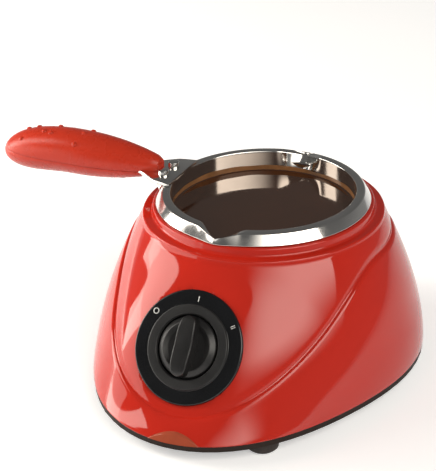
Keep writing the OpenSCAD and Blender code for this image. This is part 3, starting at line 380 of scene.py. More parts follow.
# Housing.
def outer_section(a):
    """Heights and offsets of the outer skin at one turn, from the hem up to the collar's foot."""
    hem = 0.45
    edge_drop, edge_run, edge_in = 2.2, 1.75, 1.35
    groove_run, groove_in = 1.0, 1.32
    shoulder = 1.8
    pts = [(0.0, -hem)]
    for k in range(1, 5):
        t = math.radians(90 * k / 4)
        pts.append((hem * (1 - math.cos(t)), -hem * (1 - math.sin(t))))
    lip = float(groove_h(a)) - edge_drop
    pts += [(hem + (lip - hem) * k / 10, 0.0) for k in range(1, 11)]
    for k in range(1, 8):                      # rounded edge of the skirt
        t = math.radians(88 * k / 7)
        pts.append((lip + edge_run * math.sin(t), -edge_in * (1 - math.cos(t))))
    for k in range(1, 6):                      # bottom of the groove
        t = k / 5
        dip = 0.18 * math.sin(math.radians(144 * t))
        pts.append((lip + edge_run + groove_run * t, -groove_in - dip + 0.12 * t))
    top0 = lip + edge_run + groove_run
    start = pts[-1][1]
    for k in range(1, 25):                     # upper body
        s = k / 24
        h = top0 + (BODY_H - shoulder - top0) * s
        grow = max(0.0, 1 - (h - top0) / 3.0) ** 2
        pts.append((h, -0.8 * (1 - s) ** 2 + (start + 0.8) * grow))
    return pts


def shoulder_section(r_top):
    """From the shoulder over the collar and the well's seat to the roof's underside."""
    seat_z, roof_z = COLLAR_Z - 1.6, 79.4
    path = [(r_top, COLLAR_FOOT_Z - 1.8), (r_top - 0.25, COLLAR_FOOT_Z), (58.2, COLLAR_FOOT_Z),
            (57.45, COLLAR_Z), (54.7, COLLAR_Z), (54.7, seat_z), (51.8, seat_z), (51.8, roof_z),
            (58.5, roof_z)]
    return corner(path, [0, 1.9, 1.3, 0.9, 0.35, 0.2, 0.3, 0.3, 0], 5)


def natural_lift(angle):
    """How far the plain body lies behind the dial's plane, at one angle round the dial's edge."""
    q = DIAL_C + DIAL_R * (math.cos(angle) * DIAL_U + math.sin(angle) * DIAL_V)
    low, high = -25.0, 12.0
    for _ in range(40):
        w = (low + high) / 2
        p = q + w * DIAL_N
        a = math.atan2(p[0], -p[1])
        if math.hypot(p[0], p[1]) < body_r(a, p[2] - EDGE_Z):
            low = w
        else:
            high = w
    return low


LIFT_A = np.linspace(-PI, PI, 145)
LIFT_W = np.array([natural_lift(a) for a in LIFT_A])


def dial_blend(p, target, depth):
    """Lets the body meet the dial's edge all round, and fade back to its own form outside it."""
    d = p - DIAL_C
    u, v, w = d @ DIAL_U, d @ DIAL_V, d @ DIAL_N
    rho = np.hypot(u, v)
    angle = np.arctan2(v, u)
    reach = 15.0 + 27.0 * np.cos(angle) ** 2   # it fades over a longer way to the sides
    lift = target - np.interp(angle, LIFT_A, LIFT_W)
    out = 1 - smooth((rho - DIAL_R) / reach)
    near = (w > -45) & (p[..., 1] < -25)       # nothing of the housing's other side
    under = smooth((26.6 - rho) / 1.6)
    move = lift * out * (1 - under) + (depth - w) * under
    return p + np.where(near, move, 0.0)[..., None] * DIAL_N


# the columns of points stand closer together at the front, where the groove and the dial are
AROUND = 360
turns = np.array([2 * PI * j / AROUND for j in range(AROUND)])
turns = turns - 0.42 * np.sin(turns)
columns = []
for a in turns:
    a = float(a)
    sec = outer_section(a)
    outer = [(float(body_r(a, h)) + off - TRIM, EDGE_Z + h) for h, off in sec]
    over = shoulder_section(outer[-1][0])
    cavity = [(float(body_r(a, h)) - SHELL_T, EDGE_Z + h) for h in np.linspace(BODY_H - 2.6, 0, 30)]
    rz = np.array(outer + [tuple(p) for p in over[1:-1]] + cavity)
    columns.append(np.stack([rz[:, 0] * math.sin(a), -rz[:, 0] * math.cos(a), rz[:, 1]], 1))
columns = np.array(columns)
n_outer = len(outer_section(0.0))
n_over = n_outer + len(shoulder_section(62.0)) - 2
# how far the skin, the dial's seat and the inside lie behind the dial's face
SKIN_BEHIND, SEAT_BEHIND, ROOM_BEHIND = -1.35, -3.9, -5.9
columns[:, :n_outer] = dial_blend(columns[:, :n_outer], SKIN_BEHIND, SEAT_BEHIND)
columns[:, n_over:] = dial_blend(columns[:, n_over:], ROOM_BEHIND, ROOM_BEHIND)
shell_faces = loop_faces(*columns.shape[:2], close_m=True, flip=True)
housing = mesh_object("shell_red", columns.reshape(-1, 3), shell_faces, None, M["red_shell"])

# The lamp's window in the front edge: half its width, its height, and the nose's own radius and middle.
LENS_HALF, LENS_H = 13.5, 4.2
NOSE_R = 57.0
NOSE_C = np.array([0.0, NOSE_R - 120.8, 0.0])
LENS_TURN = math.radians(5.5)
LENS_GAP = 0.15


def arch(grow, u):
    """Height of the lens's arched top at a distance from its middle."""
    r = (LENS_H ** 2 + LENS_HALF ** 2) / (2 * LENS_H)
    return math.sqrt(max((r + grow) ** 2 - u * u, 0)) + LENS_H - r


def at_lens(points):
    """From the lens's own frame, with the axis at its middle, to the part's."""
    p = np.asarray(points, float) - NOSE_C
    c, s = math.cos(LENS_TURN), math.sin(LENS_TURN)
    return np.stack([p[:, 0] * c - p[:, 1] * s, p[:, 0] * s + p[:, 1] * c, p[:, 2]], 1) + NOSE_C


half_open = LENS_HALF + LENS_GAP
edge_u = np.linspace(-half_open - 0.6, half_open + 0.6, 41)
arch_ring = [(u, EDGE_Z + max(arch(LENS_GAP, u), -0.05)) for u in edge_u]
arch_ring = [(edge_u[0], EDGE_Z - 2)] + arch_ring + [(edge_u[-1], EDGE_Z - 2)]
front = at_lens([(u, -125.0, z) for u, z in arch_ring])
back = at_lens([(u, -110.0, z) for u, z in arch_ring])
pts, fcs = capped_loft([front, back], flip=True)
cut(housing, pts, fcs, "lens_cutter")
pts, fcs = lathe([(0, -12), (5.6, -12), (5.6, 3), (0, 3)], 48, DIAL_C, (DIAL_U, DIAL_V, DIAL_N))
cut(housing, pts, fcs, "bush_cutter")
# the mains lead's hole, at the back
LEAD_Z = 24.0
LEAD_AT = (0, float(body_r(PI, LEAD_Z - EDGE_Z)), LEAD_Z)
LEAD_AXES = (np.array([1.0, 0, 0]), np.array([0, 0, -1.0]), np.array([0, 1.0, 0]))
pts, fcs = lathe([(0, -8), (5.7, -8), (5.7, 0), (8.1, 0), (8.1, 4), (0, 4)], 64, LEAD_AT, LEAD_AXES)
cut(housing, pts, fcs, "lead_cutter")
reshade(housing, 38)
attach(housing, "root")
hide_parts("housing")

# Lens over the lamp.
cols, rows = 61, 9
LENS_SKIN, LENS_T = 13.45, 2.2
skin, inner = [], []
for i in range(cols):
    u = -LENS_SKIN + 2 * LENS_SKIN * i / (cols - 1)
    top = max(arch(0, u), 0.02)
    for j in range(rows):
        h = top * (j / (rows - 1))
        border = min(1.0, min(top - h, LENS_SKIN - abs(u)) / 0.5)
        turn = u / NOSE_R
        r = NOSE_R - 0.62 * h - LENS_GAP - 0.45 * (1 - math.sqrt(max(0.0, 1 - (1 - border) ** 2)))
        for reach, into in ((r, skin), (r - LENS_T, inner)):
            into.append(NOSE_C + np.array([reach * math.sin(turn), -reach * math.cos(turn), EDGE_Z + h]))
lens_points = at_lens(skin + inner)
total = cols * rows
lens_faces = []
for i in range(cols - 1):
    for j in range(rows - 1):
        a, b, c, d = i * rows + j, (i + 1) * rows + j, (i + 1) * rows + j + 1, i * rows + j + 1
        lens_faces.append([a, b, c, d])
        lens_faces.append([total + d, total + c, total + b, total + a])
rim = [i * rows for i in range(cols)] + [(cols - 1) * rows + j for j in range(1, rows)] \
    + [i * rows + rows - 1 for i in range(cols - 2, -1, -1)] + [j for j in range(rows - 2, 0, -1)]
for k in range(len(rim)):
    p, q = rim[k], rim[(k + 1) % len(rim)]
    lens_faces.append([p, total + p, total + q, q])
mesh_object("lens_amber", lens_points, lens_faces, "root", M["lens"], ["indicator_lens"], sharp=40)

# Feet.
foot_profile = corner([(0, 0), (6.4, 0), (8.0, 1.4), (7.5, 7.0), (3.0, 7.0), (3.0, 10.0), (4.2, 10.0),
                       (3.0, 12.4), (0, 12.4)], [0, 0.8, 0.9, 0.3, 0, 0, 0.2, 0.4, 0], 4)
foot_parts = []
for turn, inset in ((23.5, 11.0), (142.0, 15.8)):      # from the front, and in from the hem
    for side in (-1, 1):
        a = math.radians(turn) * side
        reach = float(plan_r(a)) - inset
        foot_parts.append(lathe(foot_profile, 64, (reach * math.sin(a), -reach * math.cos(a), 0)))
pts, fcs = joined(*foot_parts)
mesh_object("feet_rubber", pts, fcs, "root", M["foot_rubber"], ["feet"], sharp=50)

# Cord bushing.
bushing = corner([(3.6, -6.7), (5.6, -6.7), (5.6, -5.4), (6.6, -5.0), (6.6, -3.4), (5.6, -2.9), (5.6, 0.0),
                  (8.0, 0.0), (8.0, 2.2), (6.4, 2.2), (5.6, 1.5), (4.4, 2.2), (3.6, 2.2)],
                 [0.2, 0.3, 0.2, 0.4, 0.4, 0.2, 0, 0.3, 0.8, 0.4, 0.5, 0.3, 0.5], 4)
pts, fcs = lathe(bushing, 72, LEAD_AT, LEAD_AXES)
mesh_object("bushing_black", pts, fcs, "root", M["bushing_rubber"], ["cord_bushing"],
            sharp=50)

# Dial.
DIAL_AXES = (DIAL_U, DIAL_V, DIAL_N)
RING_IN, RING_OUT = 15.9, 21.25                # the satin ring on the dial
plate = corner([(5.3, -3.2), (DIAL_R, -3.2), (DIAL_R, 0.0), (21.3, 0.0), (20.75, 1.2), (16.4, 1.2),
                (15.8, 0.0), (15.8, -2.0), (5.3, -2.0)],
               [0, 0.2, 0.85, 0.35, 0.45, 0.5, 0.2, 0.3, 0], 6)
pts, fcs = lathe(plate, 240, DIAL_C, DIAL_AXES)
dial = mesh_object("dial_disc", pts, fcs, "root", M["dial_black"], ["dial_plate"], sharp=45)
dial.data.materials.append(M["dial_satin"])
local = np.array([v.co for v in dial.data.vertices]) / MM - DIAL_C
rho_v = np.hypot(local @ DIAL_U, local @ DIAL_V)
w_v = local @ DIAL_N
for poly in dial.data.polygons:
    ids = list(poly.vertices)
    if RING_IN < rho_v[ids].mean() < RING_OUT and w_v[ids].mean() > 0.05:
        poly.material_index = 1

# Knob: a round skirt with a ridge across it.
skirt_profile = corner([(0, -1.6), (15.2, -1.6), (15.2, -0.1), (14.7, 0.55), (12.6, 1.95), (12.1, 2.15),
                        (11.6, 1.9), (9.6, 1.05), (5.0, 0.95), (0, 0.95)],
                       [0, 0.3, 0.5, 0.5, 0.3, 0.22, 0.3, 4.0, 2.0, 0], 6)
knob_parts = [lathe(skirt_profile, 200, DIAL_C, DIAL_AXES)]
RIDGE_LONG, RIDGE_HALF, RIDGE_TOP, RIDGE_LOW = 15.0, 4.9, 7.15, -1.4
ridge = []
for k in range(57):
    v = RIDGE_LONG * math.sin((-1 + k / 28) * PI / 2)
    s = abs(v) / RIDGE_LONG
    half = (RIDGE_HALF - 0.9 * s ** 2) * math.sqrt(max(0.02, 1 - s ** 10))
    top = RIDGE_TOP - 0.55 * math.exp(-(v / 4.6) ** 2) - 1.5 * s ** 6
    path = corner([(-half * 1.05, RIDGE_LOW), (-half * 0.95, top), (half * 0.95, top),
                   (half * 1.05, RIDGE_LOW), (-half * 1.05, RIDGE_LOW)], [0, 0.9, 0.9, 0, 0], 6)[:-1]
    ridge.append(dial_frame([(x, v, z) for x, z in path]))
knob_parts.append(capped_loft(ridge))
pts, fcs = joined(*knob_parts)
mesh_object("knob_grip", pts, fcs, "knob", M["knob_black"], ["knob"], sharp=35)

# Printed marks.
INK = 0.05                                     # half the thickness of a printed mark


def flat_mark(outline, hole=None):
    """A thin printed mark on the dial's face from an outline in its own plane."""
    if hole is None:
        rings = [[(x, y, z) for x, y in outline] for z in (-INK, INK)]
        return capped_loft([dial_frame(r) for r in rings])
    rings = [[(x, y, z) for x, y in edge]
             for edge, z in ((hole, -INK), (outline, -INK), (outline, INK), (hole, INK))]
    points = np.array([dial_frame(r) for r in rings]).reshape(-1, 3)
    return [tuple(p) for p in points], loop_faces(4, len(outline), close_m=True)


def mark_place(turn, out, points):
    """A mark's points moved to their turn and distance from the dial's middle."""
    a = math.radians(turn)
    c, s = math.cos(a), math.sin(a)
    return [((y + out) * s + x * c, (y + out) * c - x * s) for x, y in points]


def bar(x0, half_w, half_h):
    """An upright bar's corners."""
    return [(x0 - half_w, -half_h), (x0 + half_w, -half_h), (x0 + half_w, half_h), (x0 - half_w, half_h)]


def disc(r):
    """A circle's points."""
    return [(r * math.cos(2 * PI * k / 48), r * math.sin(2 * PI * k / 48)) for k in range(48)]


MARK_TURN, MARK_OUT = 56, 25.1
marks = [flat_mark(*[mark_place(-MARK_TURN, MARK_OUT, disc(r)) for r in (1.55, 1.15)]),
         flat_mark(mark_place(0, 23.9, bar(0, 0.22, 1.4)))]
marks += [flat_mark(mark_place(MARK_TURN, MARK_OUT, bar(x0, 0.17, 1.2))) for x0 in (-0.45, 0.45)]
pts, fcs = joined(*marks)
mesh_object("dial_marks", pts, fcs, "root", M["mark_white"])

# Pot. Its section: the floor, the bend above it, the wall's taper and the wall's top.
FLOOR_R, FLOOR_Z, BEND_R, BEND_Z = 40.0, 44.0, 5.2, 49.2
TAPER_Z, WALL_Z, HEM_Z, POT_T = 76.0, 90.6, 89.4, 0.8


def spout_share(x):
    """How much of a pouring lip's push there is at a distance from its middle."""
    half, soft, k = 11.5, 1.1, 0.13            # its half width, and how round its tip and its ends are
    t = 1 - (np.sqrt(x * x + soft * soft) - soft * 0.35) / half
    return np.where(t < -k, 0.0, np.where(t < k, (t + k) ** 2 / (4 * k), t))


def wall_r(z):
    """Radius of the pot's inside at a height."""
    return 45.2 + 3.0 * min(1.0, max(0.0, (z - BEND_Z) / (TAPER_Z - BEND_Z)))


def bend(r, angles):
    """The rounded corner between the pot's floor and its wall."""
    turned = [math.radians(t) for t in angles]
    return [(FLOOR_R + r * math.sin(t), BEND_Z - r * math.cos(t)) for t in turned]


def pot_profile():
    """Closed section of the pot: up its inside, over the rim and down its outside."""
    inside = [(0, FLOOR_Z), (FLOOR_R, FLOOR_Z)] + bend(BEND_R, range(10, 91, 10))
    for k in range(1, 30):
        z = BEND_Z + (WALL_Z - BEND_Z) * k / 29
        inside.append((wall_r(z), z))
    rim = corner([(48.2, WALL_Z), (48.2, LIP_Z), (52.5, LIP_Z), (56.05, 86.5), (55.25, 86.2), (52.1, 91.2),
                  (49.0, 91.2), (49.0, HEM_Z)], [0, 0.9, 1.5, 0.42, 0.42, 1.0, 0.5, 0], 8)
    outside = []
    for k in range(26):
        z = HEM_Z - (HEM_Z - BEND_Z) * k / 25
        outside.append((wall_r(z) + POT_T, z))
    outside += bend(BEND_R + POT_T, range(80, -1, -10)) + [(0, FLOOR_Z - POT_T)]
    return inside + [tuple(q) for q in rim[1:-1]] + outside


pts, fcs = lathe(pot_profile(), 480)
P = np.array(pts)
r = np.hypot(P[:, 0], P[:, 1])
z = P[:, 2]                                    # a view: it follows what moves the points
# two pouring lips: the wall and rim bulge out and dip at the front and the back
SPOUT_OUT, SPOUT_HEM_OUT, SPOUT_DOWN, SPOUT_DEEP = 8.6, 2.3, 4.0, 13.0
front_side = np.sign(P[:, 1])
g = spout_share(P[:, 0])
g_wide = np.exp(-(P[:, 0] / 9.5) ** 2)
use = (z > 78.0) & (np.abs(P[:, 0]) < 24)
# how far each point is along the rim, from its inner edge to the skirt's hem
along = np.clip((r - 48.2) / (56.0 - 48.2), 0, 1)
inner_wall = r < 48.6
wall = inner_wall | ((r < 49.6) & (z < 91))
fade = np.where(wall, np.clip(1 - (LIP_Z - z) / SPOUT_DEEP, 0, 1) ** 1.35, 1.0)
push = np.where(wall, SPOUT_OUT, SPOUT_OUT + (SPOUT_HEM_OUT - SPOUT_OUT) * smooth(along * 1.02))
drop = np.where(wall, SPOUT_DOWN, SPOUT_DOWN * (1 - smooth((along - 0.25) / 0.75)))
outward = smooth((along - 0.5) / 0.5)
share = np.where(inner_wall, g, g * (1 - outward) + g_wide * 0.9 * outward)
P[:, 1] += np.where(use, front_side * push * share * fade, 0)
P[:, 2] -= np.where(use, drop * share * fade, 0)
# the lug under the bracket
LUG_R, LUG_Z, LUG_OUT = 52.6, 90.9, 3.9
on_lug = (P[:, 0] < -40) & (r > LUG_R) & (z < 91.8) & (z > 80)
lug = np.where(on_lug, smooth((13.0 - np.abs(P[:, 1])) / 4.0), 0.0) * np.clip((r - LUG_R) / 3.4, 0, 1)
P[:, 0] -= lug * LUG_OUT
P[:, 2] += lug * (LUG_Z - z)
mesh_object("pot_steel", P, fcs, "pot", M["polished_steel"], ["pot_bowl"], sharp=60)

# Chocolate, with its edge drawn up a little against the wall, and the film it leaves above itself.
level = 80.6
pool = [(0, level - 6), (47.0, level - 6), (48.15, level - 4), (48.17, level + 0.75), (47.9, level + 0.5),
        (47.4, level + 0.22), (46.6, level + 0.06), (45.0, level), (30.0, level), (14, level), (0, level)]
pts, fcs = lathe(pool, 240)
mesh_object("melted_chocolate", pts, fcs, "pot", M["chocolate"], sharp=60)
film = [(47.95, level + 0.3), (48.19, level + 0.3), (48.19, level + 2.4), (48.12, level + 2.9),
        (48.04, level + 2.2)]
pts, fcs = lathe(film, 300)
P = np.array(pts)
a = np.arctan2(P[:, 1], P[:, 0])
wave = 0.35 * np.sin(3 * a + 0.6) + 0.2 * np.sin(7 * a + 1.9) + 0.12 * np.sin(17 * a)
P[:, 2] += np.where(P[:, 2] > level + 1.5, wave, 0)
mesh_object("chocolate_film", P, fcs, "pot", M["film"], sharp=60)

# Handle bracket: where it starts and its rounded end, from the pot's axis, and its sheet's thickness.
BRACKET_IN, BRACKET_END, END_R, SHEET = 49.3, 105.8, 6.2, 1.4
HALF_WIDTHS = np.array([(48.0, 17.2), (51.0, 16.9), (56.5, 15.4), (60.0, 12.9), (64.0, 10.1), (67.0, 8.4),
                        (71.2, 6.4), (75.0, 6.2), (112.0, 6.2)])
STATIONS = [0.0, 0.6, 1.4, 2.4, 3.6, 5.0, 6.5, 8.0, 9.5, 11, 12.5, 14, 15.5, 17, 18.5, 20, 22, 24, 27, 32,
            40, 50, 57, 60, 62]
rings = []
for s in STATIONS:
    x = BRACKET_IN + s
    half = float(np.interp(x, HALF_WIDTHS[:, 0], HALF_WIDTHS[:, 1]))
    if x > BRACKET_END:
        half *= math.sqrt(max(0.02, 1 - ((x - BRACKET_END) / END_R) ** 2))
    turn_down = 0.06 + 0.9 * smooth((x - 55.5) / 2.2) * (1 - smooth((x - 66.0) / 2.4))
    leaf = min(1.3, half * 0.3)
    curved = max(0.0, 1 - s / 7.0)             # its inner end follows the pot's wall
    path = corner([(-half, -turn_down), (-half, SHEET), (half, SHEET), (half, -turn_down),
                   (half - leaf, -turn_down), (half - leaf, 0.0), (-half + leaf, 0.0),
                   (-half + leaf, -turn_down), (-half, -turn_down)],
                  [0, 0.8, 0.8, 0.02, 0.02, 0.02, 0.02, 0.02, 0], 5)[:-1]
    arcs = [BRACKET_IN - math.sqrt(BRACKET_IN ** 2 - y * y) for y, _ in path]
    rings.append([(-(x - arc * curved), y, LIP_Z + dz + 0.02) for (y, dz), arc in zip(path, arcs)])
pts, fcs = capped_loft(rings, flip=True)
mesh_object("bracket_steel", pts, fcs, "pot", M["polished_steel"], ["handle_bracket"],
            sharp=50)

# Rivets.
dome = corner([(0, 89.6), (2.6, 89.6), (2.6, 90.8), (1.8, 90.8), (1.8, 93.4), (3.2, 93.42), (2.82, 95.5),
               (0, 95.52)], [0, 0.5, 0, 0, 0, 0.1, 0.25, 0], 5)
pts, fcs = joined(*[lathe(dome, 48, (-55.2, side * 5.8, 0)) for side in (-1, 1)])
mesh_object("rivets_steel", pts, fcs, "pot", M["polished_steel"], ["bracket_rivets"],
            sharp=50)

# Grip: its two ends from the pot's axis, and the height of its parting plane and of its own top.
GRIP_IN, GRIP_OUT, SPLIT, GRIP_TOP = 60.0, 158.0, 92.0, 107.55
SEAM_GAP, SEAM_R = 0.10, 0.34
CROWN = 0.965                                  # the upper half is this much flatter, to leave its nubs room


def grip_radius(t):
    """Radius of the grip at a share of its length."""
    n = min(t / 0.51, 1.0)
    e = max(0.0, (t - 0.61) / 0.39)
    return (4.6 + 8.0 * math.sin(PI / 2 * n ** 0.85)) * math.sqrt(max(1 - e ** 3, 0.0))


def grip_mid(t):
    """Height of the grip's middle line, which droops toward the end."""
    return 95.0 - 5.4 * max(0.0, (t - 0.56) / 0.44) ** 1.5


def grip_x(t):
    """Place along the handle at a share of the grip's length."""
    return -(GRIP_IN + (GRIP_OUT - GRIP_IN) * t)


def grip_half(sign):
    """One closed shell of the grip: its outer skin down to the parting plane, with a softened seam."""
    rings = []
    steps = 72
    crown = CROWN if sign > 0 else 1.0
    plane = SPLIT + sign * SEAM_GAP
    for k in range(steps + 1):
        t = math.sin(PI / 2 * k / steps)
        r = max(grip_radius(t), 0.5)
        if t < 0.02:                           # rounded edge of the neck
            r *= 0.86 + 0.14 * math.sqrt(max(0.0, 1 - (1 - t / 0.02) ** 2))
        x, mid = grip_x(t), grip_mid(t)
        start = math.asin(max(-0.98, min(0.98, (plane - mid) / r)))
        ring = []
        for q in np.linspace(start, sign * PI - start, 41):
            y, z = -r * math.cos(q), mid + r * math.sin(q) * crown
            off = abs(z - plane)
            if off < SEAM_R:
                inward = SEAM_R * (1 - math.sqrt(max(0.0, 1 - (1 - off / SEAM_R) ** 2)))
                y -= math.copysign(min(inward, abs(y)), y)
            ring.append((x, y, z))
        ring += [(x, w, plane) for w in np.linspace(ring[-1][1], ring[0][1], 9)[1:-1]]
        rings.append(ring)
    return capped_loft(rings, flip=sign < 0)


def grip_point(t, turn):
    """A place on the grip's skin and the way out of it."""
    r, a = grip_radius(t), math.radians(turn)
    p = np.array([grip_x(t), -r * math.cos(a), grip_mid(t) + r * math.sin(a) * CROWN])
    dt = 0.004
    slope = (grip_radius(t + dt) - grip_radius(t - dt)) / (2 * dt * (GRIP_OUT - GRIP_IN))
    nrm = np.array([slope, -math.cos(a), math.sin(a)])
    return p, nrm / np.linalg.norm(nrm)


def nub(t, turn):
    """A small bead on the grip, no higher than the top of the grip's own box."""
    p, nrm = grip_point(t, turn)
    size, sunk = 1.45, 0.12
    rise = min(0.95, sunk + (GRIP_TOP - p[2]) / nrm[2])
    u = np.cross(nrm, [0, 1.0, 0.3])
    u /= np.linalg.norm(u)
    v = np.cross(nrm, u)
    prof = [(0, -0.8), (size * 0.98, -0.8)]
    for k in range(9):
        a = math.radians(90 * k / 8)
        prof.append((size * math.cos(a), rise * math.sin(a) - sunk))
    prof[-1] = (0, rise - sunk)
    return lathe(prof, 28, p, (u, v, nrm))


# each nub's share of the grip's length, and its turn round the grip
NUBS = [(0.850, 102), (0.845, 48), (0.710, 72), (0.660, 67), (0.465, 84), (0.485, 42), (0.440, 112),
        (0.650, 110), (0.785, 105)]
pts, fcs = joined(grip_half(1), *[nub(t, a) for t, a in NUBS])
mesh_object("grip_upper", pts, fcs, "pot", M["red_grip"], ["handle_upper"], sharp=50)
pts, fcs = grip_half(-1)
grip_low = mesh_object("grip_lower", pts, fcs, "pot", M["red_grip"], ["handle_lower"], sharp=50)

# Grip screws: each one's distance from the pot's axis and the height of its head's face, in its well.
SCREWS = (("in", 84.0, 84.45), ("out", 104.0, 83.07))
WELL_R, HEAD_TOP = 3.55, 85.07
for _, out, _ in SCREWS:
    pts, fcs = lathe([(0, 70.0), (WELL_R, 70.0), (WELL_R, HEAD_TOP), (0, HEAD_TOP)], 48, (-out, 0, 0))
    cut(grip_low, pts, fcs, "screw_well")
reshade(grip_low, 50)
for label, out, face in SCREWS:
    screw = corner([(0, face), (2.75, face), (3.28, face + 0.4), (3.28, HEAD_TOP), (1.5, HEAD_TOP),
                    (1.5, 98.2), (0, 98.2)], [0, 0.5, 0.15, 0, 0, 0.3, 0], 4)
    pts, fcs = lathe(screw, 48, (-out, 0, 0))
    made = mesh_object("grip_screw_" + label, pts, fcs, "pot", M["zinc_screws"],
                       ["handle_screws"])
    for long_x, long_y in ((2.0, 0.42), (0.42, 2.0)):      # the cross slot
        ring = [(-out + i * long_x, j * long_y) for i, j in ((-1, -1), (1, -1), (1, 1), (-1, 1))]
        pts, fcs = capped_loft([[(x, y, z) for x, y in ring] for z in (face - 0.5, face + 0.32)])
        cut(made, pts, fcs, "screw_slot")
    reshade(made, 40)

# Studio: a faint even light, a pale floor and four soft lamps.
world = bpy.data.worlds.new("studio")
bpy.context.scene.world = world
world.use_nodes = True
tree = world.node_tree
tree.nodes.clear()
out = node(tree, "ShaderNodeOutputWorld")
soft = node(tree, "ShaderNodeBackground")
place = node(tree, "ShaderNodeTexCoord")
split = node(tree, "ShaderNodeSeparateXYZ")
tree.links.new(place.outputs["Generated"], split.inputs["Vector"])
fade = node(tree, "ShaderNodeMapRange", interpolation_type="SMOOTHSTEP")
fade.inputs["From Min"].default_value, fade.inputs["From Max"].default_value = 0.0, 0.5
fade.inputs["To Min"].default_value, fade.inputs["To Max"].default_value = 0.24, 0.12
tree.links.new(split.outputs["Z"], fade.inputs["Value"])
tree.links.new(fade.outputs["Result"], soft.inputs["Strength"])
soft.inputs["Color"].default_value = (1, 0.985, 0.965, 1)
tree.links.new(soft.outputs[0], out.inputs["Surface"])

far = 6.0                                      # half the floor's side, in metres
floor_data = bpy.data.meshes.new("floor")
floor_data.from_pydata([(-far, -far, 0), (far, -far, 0), (far, far, 0), (-far, far, 0)], [], [[0, 1, 2, 3]])
floor = bpy.data.objects.new("floor", floor_data)
bpy.context.scene.collection.objects.link(floor)
floor_mat = bpy.data.materials.new("pale_floor")
floor_mat.use_nodes = True
tree = floor_mat.node_tree
paper = tree.nodes["Principled BSDF"]
paper.inputs["Base Color"].default_value = (0.90, 0.90, 0.90, 1)
paper.inputs["Roughness"].default_value = 0.7
paper.inputs["Specular IOR Level"].default_value = 0.2
paper.inputs["Emission Color"].default_value = (1, 1, 1, 1)
# what the floor adds is seen directly, in gloss and through clear parts, and doesn't light the object
path = node(tree, "ShaderNodeLightPath")
seen = node(tree, "ShaderNodeMath", operation="MAXIMUM")
tree.links.new(path.outputs["Is Camera Ray"], seen.inputs[0])
tree.links.new(path.outputs["Is Glossy Ray"], seen.inputs[1])
through = node(tree, "ShaderNodeMath", operation="MAXIMUM")
tree.links.new(seen.outputs[0], through.inputs[0])
tree.links.new(path.outputs["Is Transmission Ray"], through.inputs[1])
lift = node(tree, "ShaderNodeMath", operation="MULTIPLY")
tree.links.new(through.outputs[0], lift.inputs[0])
lift.inputs[1].default_value = 0.40
tree.links.new(lift.outputs[0], paper.inputs["Emission Strength"])
floor_data.materials.append(floor_mat)


def toward(turn, rise, far):
    """A place at a turn from the front, a rise above the level and a distance."""
    a, e = math.radians(turn), math.radians(rise)
    return Vector((math.sin(a) * math.cos(e), -math.cos(a) * math.cos(e), math.sin(e))) * far


LAMP_TINT = (1.0, 0.95, 0.87)


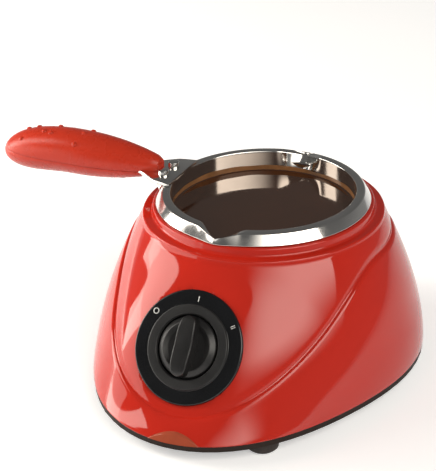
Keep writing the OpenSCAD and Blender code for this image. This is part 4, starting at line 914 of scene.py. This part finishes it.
def softbox(name, turn, rise, far, size, level, soft_side=0.0, soft_low=0.0, lean=0.0, upright=False,
            gloss=True):
    """A rectangular soft lamp; level is the brightness of its face, white being one.

    It looks at the object, or straight ahead where upright; soft_side and soft_low are the shares of its
    width and height over which it fades in, and lean turns it about its own middle."""
    aim = Vector((0, 0, 0.05))
    data = bpy.data.lights.new(name, "AREA")
    data.shape = "RECTANGLE"
    data.size, data.size_y = size
    data.energy = level * PI * size[0] * size[1]
    data.color = LAMP_TINT
    obj = bpy.data.objects.new(name, data)
    bpy.context.scene.collection.objects.link(obj)
    obj.location = aim + toward(turn, rise, far)
    if upright:
        aim.z = obj.location.z
    obj.rotation_mode = "QUATERNION"
    look = (aim - obj.location).to_track_quat("-Z", "Y")
    obj.rotation_quaternion = look @ Quaternion((0, 0, 1), -math.radians(lean))
    obj.visible_camera = False
    obj.visible_glossy = gloss
    fades = [(Vector((1, 0, 0)), size[0], soft_side), (Vector((0, 1, 0)), size[1], soft_low)]
    fades = [(obj.rotation_quaternion @ way, span, share) for way, span, share in fades if share]
    if fades:
        data.use_nodes = True
        lamp = data.node_tree
        lamp.nodes.clear()
        emit = node(lamp, "ShaderNodeEmission")
        done = node(lamp, "ShaderNodeOutputLight")
        spot = node(lamp, "ShaderNodeNewGeometry")
        strength = None
        for way, span, share in fades:
            dot = node(lamp, "ShaderNodeVectorMath", operation="DOT_PRODUCT")
            dot.inputs[1].default_value = way
            lamp.links.new(spot.outputs["Position"], dot.inputs[0])
            ramp = node(lamp, "ShaderNodeMapRange", interpolation_type="SMOOTHSTEP")
            start = obj.location.dot(way) - 0.5 * span
            ramp.inputs["From Min"].default_value = start
            ramp.inputs["From Max"].default_value = start + share * span
            lamp.links.new(dot.outputs["Value"], ramp.inputs["Value"])
            if strength is None:
                strength = ramp.outputs["Result"]
            else:
                product = node(lamp, "ShaderNodeMath", operation="MULTIPLY")
                lamp.links.new(strength, product.inputs[0])
                lamp.links.new(ramp.outputs["Result"], product.inputs[1])
                strength = product.outputs[0]
        lamp.links.new(strength, emit.inputs["Strength"])
        lamp.links.new(emit.outputs[0], done.inputs[0])


softbox("box_left", -76, 23, 1.1, (0.31, 1.05), 5.0, lean=28)
softbox("panel_low", -62, 8, 1.1, (1.08, 0.38), 2.1, upright=True)
softbox("box_right", 47.5, 42, 1.35, (1.66, 1.30), 4.8, soft_side=0.62, soft_low=0.28, upright=True)
softbox("key_plain", -86, 16, 1.2, (0.6, 0.6), 10.0, gloss=False)

# Camera, fitted to the photograph: where it stands, where it looks from there, its roll and its lens.
CAM_TURN, CAM_RISE, CAM_FAR, CAM_AIM_Z = 24.954, 28.295, 800.0, 40.0
AIM_TURN, AIM_RISE, CAM_ROLL = 1.969, -1.617, -1.96
FOCAL_PX, PHOTO_PX, SENSOR = 1497.192, 471.0, 36.0


def camera_axes(turn, rise):
    """Which ways a camera at a turn and a rise has as forward, right and up."""
    a, e = math.radians(turn), math.radians(rise)
    f = Vector((-math.sin(a) * math.cos(e), math.cos(a) * math.cos(e), -math.sin(e)))
    r = Vector((math.cos(a), math.sin(a), 0))
    return f, r, r.cross(f)


eye = Vector((0, 0, CAM_AIM_Z)) - CAM_FAR * camera_axes(CAM_TURN, CAM_RISE)[0]
f, r, u = camera_axes(CAM_TURN + AIM_TURN, CAM_RISE + AIM_RISE)
roll = math.radians(CAM_ROLL)
r2 = r * math.cos(roll) + u * math.sin(roll)
u2 = u * math.cos(roll) - r * math.sin(roll)
cam_data = bpy.data.cameras.new("camera")
cam_data.sensor_width = SENSOR
cam_data.lens = SENSOR * FOCAL_PX / PHOTO_PX
cam_data.clip_start, cam_data.clip_end = 0.02, 50
cam = bpy.data.objects.new("camera", cam_data)
bpy.context.scene.collection.objects.link(cam)
cam.matrix_world = Matrix(((r2.x, u2.x, -f.x, eye.x * MM), (r2.y, u2.y, -f.y, eye.y * MM),
                           (r2.z, u2.z, -f.z, eye.z * MM), (0, 0, 0, 1)))
bpy.context.scene.camera = cam
bpy.context.scene.view_settings.view_transform = "Standard"

# Brings the scene's placements up to date.
bpy.context.view_layer.update()
